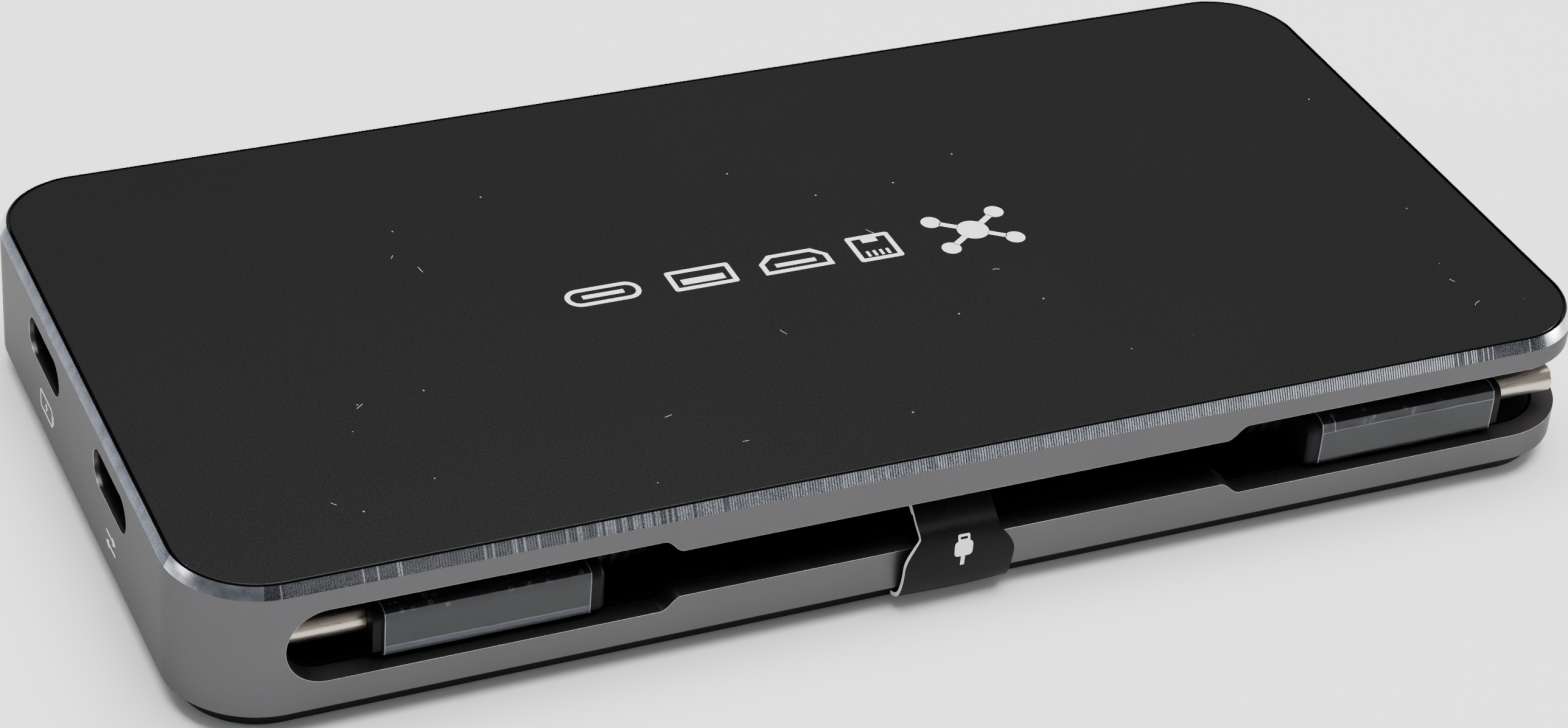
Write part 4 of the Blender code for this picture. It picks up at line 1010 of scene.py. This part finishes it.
def make_a_ports():
    """The three USB-A sockets in the back, with their contacts."""
    for name in USB_A_PORTS:
        low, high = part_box(f"{name}_shell")
        centre, (width, height) = span(f"{name}_shell", "xz")

        def ring_at(y, inset):
            return back_ring(y, centre, width - 2 * inset, height - 2 * inset, A_PORT_CORNER - inset * 0.5)

        mesh = loft_mesh("port", hollow_rings(ring_at, high.y, low.y, 1, *A_SHELL))
        piece(f"{name}_socket", mesh, ("port_steel",), "hub", (f"{name}_shell",))
        low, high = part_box(f"{name}_tongue")
        under = (centre[0], low.z)
        contact_row(f"{name}_contacts", "Y", high.y - A_START, under, "hub", **A_ROW)


def make_video_port():
    """The video socket in the back, with its contacts."""
    low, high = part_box("video_port_shell")
    wall, lip = VIDEO_SHELL
    outside = ((low.y, 0), (high.y - lip, 0), (high.y, lip))
    inside = ((high.y, 2 * lip), (high.y - lip, wall), (low.y + wall, wall))
    rings = []
    for y, inset in outside + inside:
        points = video_outline(low, high, -inset, VIDEO_CHAMFER - inset * 0.4)
        rings.append([(x, y, z) for x, z in points])
    mesh = loft_mesh("video", rings)
    piece("video_socket", mesh, ("port_steel",), "hub", ("video_port_shell",))
    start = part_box("video_port_tongue")[1].y - VIDEO_START
    contact_row("video_contacts", "Y", start, span("video_port_tongue", "xz")[0], "hub", **VIDEO_ROW)


def make_network_contacts():
    """Eight sprung wires that slant up from the jack's floor."""
    low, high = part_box("ethernet_contacts")
    profile = (
        (low.y, low.z), (high.y - 0.0010, high.z - WIRE_THICKNESS), (high.y, high.z - 1.3 * WIRE_THICKNESS),
    )
    bm = bmesh.new()
    for k in range(WIRES):
        x = (low.x + high.x) / 2 + (k - (WIRES - 1) / 2) * WIRE_PITCH
        x0, x1 = x - WIRE_HALF_WIDTH, x + WIRE_HALF_WIDTH
        rings = [
            [(x0, y, z), (x1, y, z), (x1, y, z + WIRE_THICKNESS), (x0, y, z + WIRE_THICKNESS)]
            for y, z in profile
        ]
        take_in(bm, loft_mesh("wire", rings))
    mesh = mesh_from(bm, "network_wires")
    replaced = ("ethernet_contacts",)
    piece("network_wires", mesh, ("contact_gold",), "hub", replaced, smooth=False)


# ---------------------------------------------------------------- lead

def plug_facts(side):
    """Where a plug's front is, which way its tip points, the middle of its section and its length."""
    low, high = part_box(f"{side}_plug_body")
    front, way = (low.x, -1) if side == "left" else (high.x, 1)
    return front, way, span(f"{side}_plug_body", "yz")[0], high.x - low.x


def plug_ring(x, centre, inset):
    """The grip's section: its upper front corner is rounder than the others."""
    ring = []
    for i, ((u, v), radius) in enumerate(PLUG_CORNERS):
        reach = max(radius - inset, PLUG_SHARPEST)
        for k in range(OVAL_STEPS + 1):
            angle = radians(90 * i + 90 * k / OVAL_STEPS)
            ring.append(Vector((x, centre[0] + u + reach * cos(angle), centre[1] + v + reach * sin(angle))))
    return ring


def make_plug(side):
    """A soft moulded grip with a collar, hollow at the front for the metal tip."""
    front, way, centre, length = plug_facts(side)
    hole = [length + TIP_GAP for length in span(f"{side}_plug_shell", "yz")[1]]
    rings = [side_ring(front - way * depth, centre, *hole, OVAL * hole[1]) for depth in (TIP_HOLE_DEPTH, 0)]
    face = PLUG_STEP + PLUG_FRONT_EDGE
    start = [(aside, face - short) for aside, short in reversed(rounding(PLUG_FRONT_EDGE))]
    collar = [(PLUG_COLLAR, PLUG_STEP), (PLUG_COLLAR + COLLAR_RISE, 0)]
    end = [(length - short, aside) for aside, short in rounding(PLUG_BACK_EDGE)]
    rings += [plug_ring(front - way * depth, centre, inset) for depth, inset in start + collar + end]
    mesh = loft_mesh("plug", rings)
    piece(f"{side}_grip", mesh, ("plug_plastic",), "lead", (f"{side}_plug_body",))
    make_tip(side, way, centre)


def make_tip(side, way, centre):
    """The drawn nickel tip with its rounded lip, and two rows of contacts on its core."""
    mesh = oval_shell(f"{side}_plug_shell", way, *TIP_SHELL, TIP_STEPS)
    piece(f"{side}_tip", mesh, ("plug_nickel",), "lead", (f"{side}_plug_shell",))
    low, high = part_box(f"{side}_plug_insert")
    start = low.x if way < 0 else high.x - TIP_ROW["length"]
    contact_row(f"{side}_tip_contacts", "X", start, centre, "lead", **TIP_ROW)


def wrap_outline(side, lift):
    """Points round the film's section, each with the finish of the face that follows it."""
    corners = FILM_CORNERS[side]
    points = []
    for i, (here, after) in enumerate(zip(corners, corners[1:] + corners[:1])):
        here, after = Vector(here), Vector(after)
        here += here.normalized() * lift
        after += after.normalized() * lift
        finish = FILM_CLEAR
        # The free edge gets a narrow strip of the painted edge highlight
        if i == FOLD[side]:
            finish = FOLD_FINISH[side]
            along = (after - here).normalized() * FOLD_HALF_WIDTH
            points.append((here - along, FILM_EDGE_HIGHLIGHT))
            here += along
        points += [(here.lerp(after, k / FLAT_SPANS), finish) for k in range(FLAT_SPANS)]
    return points


def make_film(side):
    """Clear film wrapped round the grip, a little loose, with its free edge along the front and a painted
    highlight along its edges.
    """
    _, way, centre, _ = plug_facts(side)
    low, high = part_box(f"{side}_plug_film")
    start, end = (high.x, low.x) if way > 0 else (low.x, high.x)
    finishes = [finish for _, finish in wrap_outline(side, 0)]
    fold_at = FOLD[side] * FLAT_SPANS

    def sheet_ring(part, lift):
        x = start + (end - start) * part
        ring = []
        for n, (point, _) in enumerate(wrap_outline(side, lift)):
            where = Vector((x * FILM_RIPPLE_ALONG, *(point * FILM_RIPPLE_ROUND)))
            swell = noise.noise(where) * FILM_RIPPLE
            point += point.normalized() * swell
            if n in (fold_at, fold_at + 1):
                point.y += noise.noise(Vector((x * FOLD_WANDER_SCALE, 0.5, 0))) * FOLD_WANDER[side]
            ring.append(Vector((x, centre[0] + point.x, centre[1] + point.y)))
        return ring

    steps = [i / FILM_STATIONS for i in range(FILM_STATIONS + 1)]
    parts = sorted([0, FILM_RIM, *steps[1:-1], *SECOND_EDGE[side], 1 - FILM_RIM, 1])
    rings = [sheet_ring(part, FILM_THICKNESS) for part in parts]
    rings += [sheet_ring(part, 0) for part in reversed(parts)]
    bm = bmesh.new()
    layers = [[bm.verts.new(point) for point in ring] for ring in rings]
    count = len(parts)
    rims = (0, count - 2, count - 1, count, 2 * count - 2, 2 * count - 1)
    second_edge = [parts.index(part) for part in SECOND_EDGE[side][:1]]
    second_low, second_high = (corner * FLAT_SPANS for corner in SECOND_EDGE_CORNERS)
    for k, (first, second) in enumerate(zip(layers, layers[1:] + layers[:1])):
        for i in range(len(first)):
            j = (i + 1) % len(first)
            face = bm.faces.new((first[i], first[j], second[j], second[i]))
            # Rows at the film's two ends and along its second edge get the painted edge highlight
            edge = k in rims or (k in second_edge and second_low <= i < second_high)
            face.material_index = FILM_EDGE_HIGHLIGHT if edge else finishes[i]
    mesh = mesh_from(bm, "film")
    piece(f"{side}_film", mesh, FILM_FINISHES, "lead", (f"{side}_plug_film",), "clear_film")


def make_relief(side):
    """The grooved boot behind a plug, which rises from the plug's middle to the cable's."""
    low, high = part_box(f"{side}_strain_relief")
    _, way, (y, z), _ = plug_facts(side)
    rise = span("lead_cable", "yz")[0][1] - z
    root = low.x if side == "left" else high.x
    length = high.x - low.x
    wide = (high.y - low.y) / 2
    narrow = wide - BOOT_TAPER
    profile = [(wide - BOOT_EDGE, 0), (wide, BOOT_EDGE)]
    for part in GROOVES_AT:
        radius = wide + (narrow - wide) * part
        floor = radius - GROOVE_DEPTH
        profile += [
            (radius, length * part - GROOVE_HALF_WIDTH), (floor, length * part - GROOVE_FLOOR_HALF_WIDTH),
            (floor, length * part + GROOVE_FLOOR_HALF_WIDTH), (radius, length * part + GROOVE_HALF_WIDTH),
        ]
    profile += [(narrow, length - BOOT_EDGE), (narrow - BOOT_EDGE, length)]
    rings = []
    for radius, along in profile:
        middle = (y, z + rise * along / length)
        rings.append(side_ring(root - way * along, middle, 2 * radius, 2 * radius, 0.9999 * radius))
    mesh = loft_mesh("boot", rings)
    piece(f"{side}_boot", mesh, ("cable_jacket",), "lead", (f"{side}_strain_relief",))


def make_cable():
    """The short cable between the two boots, straight in its slot."""
    low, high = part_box("lead_cable")
    centre = (low + high) / 2
    radius = (high.z - low.z) / 2
    curve = bpy.data.curves.new("lead_jacket", "CURVE")
    curve.dimensions = "3D"
    curve.bevel_depth = radius
    curve.bevel_resolution = 8
    curve.use_fill_caps = True
    spline = curve.splines.new("POLY")
    spline.points.add(CABLE_POINTS - 1)
    for i, point in enumerate(spline.points):
        part = i / (CABLE_POINTS - 1)
        point.co = (low.x + (high.x - low.x) * part, centre.y, centre.z, 1)
    curve.materials.append(FINISHES["cable_jacket"])
    cable = shown("lead_jacket", curve)
    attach(cable, "lead")
    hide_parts("lead_cable")
    return cable, (low.x, centre.y, centre.z), high.x - low.x, 2 * radius


# ---------------------------------------------------------------- label

def tag_line():
    """(y, z) down the middle of the label's card, and how many points come before its hanging part."""
    loop = arc(span("lead_cable", "yz")[0], TAG_LOOP_RADIUS, 180, 470, 24)
    before, after = ([(FRONT + deep, z) for deep, z in part] for part in (TAG_BEFORE, TAG_AFTER))
    return [Vector(p) for p in before + loop + after], len(before) + len(loop)


def smoothed(points, per_span):
    """Catmull-Rom points through a list."""
    ends = [2 * points[0] - points[1], *points, 2 * points[-1] - points[-2]]
    line = []
    for a, b, c, d in zip(ends, ends[1:], ends[2:], ends[3:]):
        for i in range(per_span):
            t = i / per_span
            bend = 2 * a - 5 * b + 4 * c - d
            turn = 3 * b - a - 3 * c + d
            line.append((2 * b + (c - a) * t + bend * t**2 + turn * t**3) / 2)
    return [*line, points[-1]]


def tag_rows():
    """Each row across the label: place, way out of its front, half width, thickness, and if it hangs."""
    points, first_hanging = tag_line()
    line = smoothed(points, TAG_SPANS)
    rows = []
    for i, place in enumerate(line):
        ahead = line[min(i + 1, len(line) - 1)] - line[max(i - 1, 0)]
        out = Vector((ahead.y, -ahead.x)).normalized()
        hangs = i >= first_hanging * TAG_SPANS
        part = min(max((TAG_WIDENS[0] - place.y) / TAG_WIDENS[1], 0), 1) if hangs else 0
        half = TAG_HALF_WIDTH + TAG_WIDER * sin(part * pi / 2)
        rows.append((place, out, half, TAG_THICKNESS * (1 if hangs else TAG_TUCKED), hangs))
    return rows


def tag_wave(share, place):
    """How far the card stands out of flat at a share of its half width."""
    return TAG_WAVE * sin(share * TAG_WAVE_ACROSS + place.y * TAG_WAVE_DOWN)


def make_tag():
    """The label: black outside, with its pale core showing along its two long cut edges."""
    bm = bmesh.new()
    sides = []
    for face in (1, -1):
        layer = []
        for place, out, half, thickness, _ in tag_rows():
            line = []
            for k in range(TAG_ACROSS + 1):
                share = 2 * k / TAG_ACROSS - 1
                centre = place + out * (face * thickness / 2 + tag_wave(share, place))
                line.append(bm.verts.new((TAG_X + share * half, centre.x, centre.y)))
            layer.append(line)
        sides.append(layer)
        for first, second in zip(layer, layer[1:]):
            for k in range(TAG_ACROSS):
                bm.faces.new((first[k], first[k + 1], second[k + 1], second[k]))
    pale = [[[row[k] for row in layer] for layer in sides] for k in (0, -1)]
    black = [[layer[k] for layer in sides] for k in (0, -1)]
    for finish, rims in enumerate((black, pale)):
        for first, second in rims:
            for a, b, c, d in zip(first, first[1:], second[1:], second):
                bm.faces.new((a, b, c, d)).material_index = finish
    piece("label", mesh_from(bm, "tag"), ("tag_card", "card_core"), "lead", ("lead_tag",), "tag_card")


# ---------------------------------------------------------------- printed signs

# A sign is a list of shapes in millimetres: (outer, inner) points, with no inner ones where it is filled.

def frame_shape(width, height, radius, line):
    """A rounded outline of an even line width."""
    outer = outline(width, height, radius, SIGN_STEPS)
    return outer, outline(width - 2 * line, height - 2 * line, max(radius - line, 0.02), SIGN_STEPS)


def rectangle(u, v, width, height):
    return [(u + a * width / 2, v + b * height / 2) for a, b in ((-1, -1), (1, -1), (1, 1), (-1, 1))], None


def disc(radius):
    angles = [2 * pi * i / DISC_SIDES for i in range(DISC_SIDES)]
    return [(radius * cos(a), radius * sin(a)) for a in angles], None


def stroke(start, end, width):
    """A straight line of some width."""
    (x0, y0), (x1, y1) = start, end
    length = hypot(x1 - x0, y1 - y0)
    nx, ny = -(y1 - y0) / length * width / 2, (x1 - x0) / length * width / 2
    return [(x0 + nx, y0 + ny), (x1 + nx, y1 + ny), (x1 - nx, y1 - ny), (x0 - nx, y0 - ny)], None


def at(shapes, u, v, size=1.0):
    """Shapes scaled, then moved."""
    return [
        [points and [(a * size + u, b * size + v) for a, b in points] for points in shape]
        for shape in shapes
    ]


def sign_c():
    return [frame_shape(7.6, 2.9, 1.45, 0.5), rectangle(0, 0, 4.2, 0.6)]


def sign_a():
    return [frame_shape(6.6, 3.4, 0.3, 0.5), rectangle(0, 0.35, 4.4, 0.9)]


def sign_video():
    outer = [(-3.6, 1.6), (-3.6, -0.3), (-2.3, -1.6), (2.3, -1.6), (3.6, -0.3), (3.6, 1.6)]
    return [(outer, [(a * 0.86, b * 0.69) for a, b in outer]), rectangle(0, 0.3, 4.2, 0.6)]


def sign_network():
    teeth = [rectangle(-1.05 + 0.7 * k, 1.0, 0.3, 0.9) for k in range(4)]
    return [frame_shape(4.6, 4.4, 0.3, 0.5), *teeth, rectangle(0, -1.3, 1.6, 0.7)]


def sign_hub():
    """One large dot joined to four small ones."""
    shapes = [disc(1.55)]
    for angle in (35, 145, 215, 325):
        u, v = 4.1 * cos(radians(angle)), 4.1 * sin(radians(angle))
        shapes += [stroke((u * 0.36, v * 0.36), (u * 0.8, v * 0.8), 0.6), *at([disc(0.95)], u, v)]
    return shapes


def sign_battery():
    """A battery with a bolt in it."""
    half = [(0.5, 1.3), (-0.8, -0.15), (-0.05, -0.15)]
    bolt = [(half, None), ([(-u, -v) for u, v in half], None)]
    return [frame_shape(3.9, 1.9, 0.35, 0.17), rectangle(2.15, 0, 0.22, 0.9), *at(bolt, 0, 0, 0.48)]


def sign_arrows():
    """Two arrows, one each way."""
    shapes = []
    for v, way in ((0.55, 1), (-0.55, -1)):
        shapes.append(rectangle(-0.3 * way, v, 2.0, 0.2))
        shapes.append(([(0.6 * way, v + 0.42), (1.4 * way, v), (0.6 * way, v - 0.42)], None))
    return shapes


def sign_plug():
    """A plug with its lead."""
    grip = (outline(2.3, 2.0, 0.5, SIGN_STEPS), None)
    return [frame_shape(1.5, 0.9, 0.2, 0.28), *at([grip], 0, -1.4), rectangle(0, -3.0, 0.5, 1.4)]


def stamp(name, shapes, to_surface, body, slot, step=None):
    """Thin raised ink: to_surface turns (u, v, lift) into a place, and step cuts strips that can bend."""
    bm = bmesh.new()
    for outer, inner in shapes:
        flat = bmesh.new()
        if inner is None:
            flat.faces.new([flat.verts.new((u, v, 0)) for u, v in outer])
        else:
            first, second = [[flat.verts.new((u, v, 0)) for u, v in ring] for ring in (outer, inner)]
            for i in range(len(outer)):
                j = (i + 1) % len(outer)
                if (first[i].co - first[j].co).length > SAME_POINT / 10:
                    flat.faces.new((first[i], first[j], second[j], second[i]))
        bmesh.ops.remove_doubles(flat, verts=flat.verts, dist=SAME_POINT)
        if step:
            slice_across(flat, step)
        bmesh.ops.recalc_face_normals(flat, faces=flat.faces)
        made = bmesh.ops.extrude_face_region(flat, geom=flat.faces[:])
        for item in made["geom"]:
            if isinstance(item, bmesh.types.BMVert):
                item.co.z = 1.0
        take_in(bm, mesh_from(flat, "sign"))
    for vert in bm.verts:
        vert.co = to_surface(vert.co.x * MM, vert.co.y * MM, vert.co.z * INK)
    return piece(name, mesh_from(bm, name), ("print_white",), body, (), slot, smooth=False)


def slice_across(bm, step):
    """Cuts flat shapes into strips, so that they can follow a bend."""
    heights = [vert.co.y for vert in bm.verts]
    height, top = min(heights) + step, max(heights)
    while height < top:
        geometry = bm.verts[:] + bm.edges[:] + bm.faces[:]
        bmesh.ops.bisect_plane(bm, geom=geometry, plane_co=(0, height, 0), plane_no=(0, 1, 0))
        height += step


def make_top_signs():
    """A row of port signs and a hub sign, which read from the far side."""
    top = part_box("top_panel")[1].z - INK_SUNK

    def on_panel(u, v, lift):
        return Vector((-u, -v - TOP_SIGNS_BACK, top + lift))

    shapes = at(sign_hub(), -17.4, 0.2, 0.95)
    for make, u in ((sign_network, -7.6), (sign_video, 0.2), (sign_a, 9.1), (sign_c, 18.4)):
        shapes += at(make(), u, 0.2, 0.92)
    stamp("panel_signs", shapes, on_panel, "hub", "black_panel")


def make_end_signs():
    """A sign below each port in the left end."""
    def on_end(u, v, lift):
        return Vector((LEFT - lift + INK_SUNK, -u, v))

    shapes = at(sign_battery(), -10.3, 5.55) + at(sign_arrows(), 9.85, 5.4)
    stamp("end_signs", shapes, on_end, "hub", "anodised_aluminium")


def make_back_signs():
    """A sign above each port in the back."""
    def on_back(u, v, lift):
        return Vector((-u, BACK + lift - INK_SUNK, v))

    signs = {f"{name}_shell": sign_a for name in USB_A_PORTS}
    signs |= {"video_port_shell": sign_video, "ethernet_jack": sign_network}
    shapes = []
    for node, make in signs.items():
        shapes += at(make(), -span(node, "xz")[0][0] / MM, BACK_SIGNS_Z, 0.30)
    stamp("back_signs", shapes, on_back, "hub", "anodised_aluminium")


def make_tag_sign():
    """A plug sign on the label's front, following its bend."""
    rows = [row for row in tag_rows() if row[4]]
    lengths = [0.0]
    for before, after in zip(rows, rows[1:]):
        lengths.append(lengths[-1] + (after[0] - before[0]).length)

    def on_tag(u, v, lift):
        down = TAG_SIGN_AT - v
        for k in range(len(lengths) - 1):
            if lengths[k + 1] >= down:
                break
        part = (down - lengths[k]) / (lengths[k + 1] - lengths[k])
        place = rows[k][0].lerp(rows[k + 1][0], part)
        out = rows[k][1].lerp(rows[k + 1][1], part)
        lifted = rows[k][3] / 2 + tag_wave(u / rows[k][2], place) + lift + INK / 3
        point = place + out * lifted
        return Vector((TAG_X + u, point.x, point.y))

    stamp("label_sign", at(sign_plug(), 0.3, 0.4, 0.72), on_tag, "lead", "tag_card", 0.25)


# ---------------------------------------------------------------- the rest of the CAD nodes

KEPT = {
    "panel_adhesive": "adhesive", "main_board": "board_laminate", "thermal_pad": "thermal_silicone",
    "crystal": "can_aluminium", "capacitor_left": "can_aluminium", "capacitor_right": "can_aluminium",
    "power_inductor_left": "ferrite", "power_inductor_right": "ferrite",
    **{name: "chip_resin" for name in ("hub_chip", "video_chip", "power_chip", "network_chip")},
    "network_transformer": "chip_resin",
}


def finish_kept_nodes():
    """Gives every CAD node that is still shown its own finish and a softly broken edge."""
    for name, obj in NODES.items():
        if obj.hide_render:
            continue
        finish = KEPT.get(name, "screw_steel" if "screw" in name else "insert_plastic")
        obj.data.materials.clear()
        obj.data.materials.append(FINISHES[finish])
        edge = obj.modifiers.new("edge", "BEVEL")
        edge.width = EDGE_BREAK
        edge.segments = 2
        edge.limit_method = "ANGLE"
        edge.angle_limit = EDGE_BREAK_ANGLE


# ---------------------------------------------------------------- stage

def make_stage():
    bm = bmesh.new()
    bmesh.ops.create_grid(bm, x_segments=1, y_segments=1, size=FLOOR_HALF)
    floor = shown("floor", mesh_from(bm, "floor"))
    material, tree, shader = new_material("pale_floor")
    feed(tree, shader, {"Base Color": (0.92, 0.92, 0.92, 1), "Roughness": 0.9, "Specular IOR Level": 0.1})
    floor.data.materials.append(material)


def make_light(name, place, target, size, power):
    data = bpy.data.lights.new(name, "AREA")
    data.shape = "RECTANGLE"
    data.size, data.size_y = size
    data.energy = power
    light = shown(name, data)
    light.location = place
    light.rotation_euler = (Vector(target) - Vector(place)).to_track_quat("-Z", "Y").to_euler()


def make_world():
    """Soft studio surround: bright overhead, darker towards the horizon."""
    world = bpy.data.worlds.new("studio")
    bpy.context.scene.world = world
    world.use_nodes = True
    tree = world.node_tree
    where = add_node(tree, "ShaderNodeTexCoord", {}).outputs["Generated"]
    height = add_node(tree, "ShaderNodeSeparateXYZ", {"Vector": where}).outputs["Z"]
    ramp = add_node(tree, "ShaderNodeValToRGB", {"Fac": height})
    stops = ramp.color_ramp.elements
    for stop, (_, colour) in zip(stops, (SKY[0], SKY[-1])):
        stop.color = (*colour, 1)
    for position, colour in SKY[1:-1]:
        stops.new(position).color = (*colour, 1)
    feed(tree, tree.nodes["Background"], {"Color": ramp.outputs["Color"], "Strength": 1.0})


def make_camera():
    data = bpy.data.cameras.new("camera")
    data.sensor_width = CAMERA_SENSOR
    data.lens = CAMERA_LENS
    data.clip_start = 0.01
    camera = shown("camera", data)
    camera.location = CAMERA_PLACE
    camera.rotation_euler = [radians(angle) for angle in CAMERA_TURN]
    bpy.context.scene.camera = camera


make_stage()
make_world()
make_camera()
for light in LIGHTS:
    make_light(*light)

CABLE, CABLE_EXIT, CABLE_LENGTH, CABLE_DIAMETER = make_cable()
make_housing()
make_chamfer()
make_panel()
make_lint()
make_base()
make_feet()
make_tray()
make_c_ports()
make_a_ports()
make_video_port()
make_network_contacts()
for which in ("left", "right"):
    make_plug(which)
    make_film(which)
    make_relief(which)
make_tag()
make_top_signs()
make_end_signs()
make_back_signs()
make_tag_sign()
finish_kept_nodes()

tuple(CABLE_EXIT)
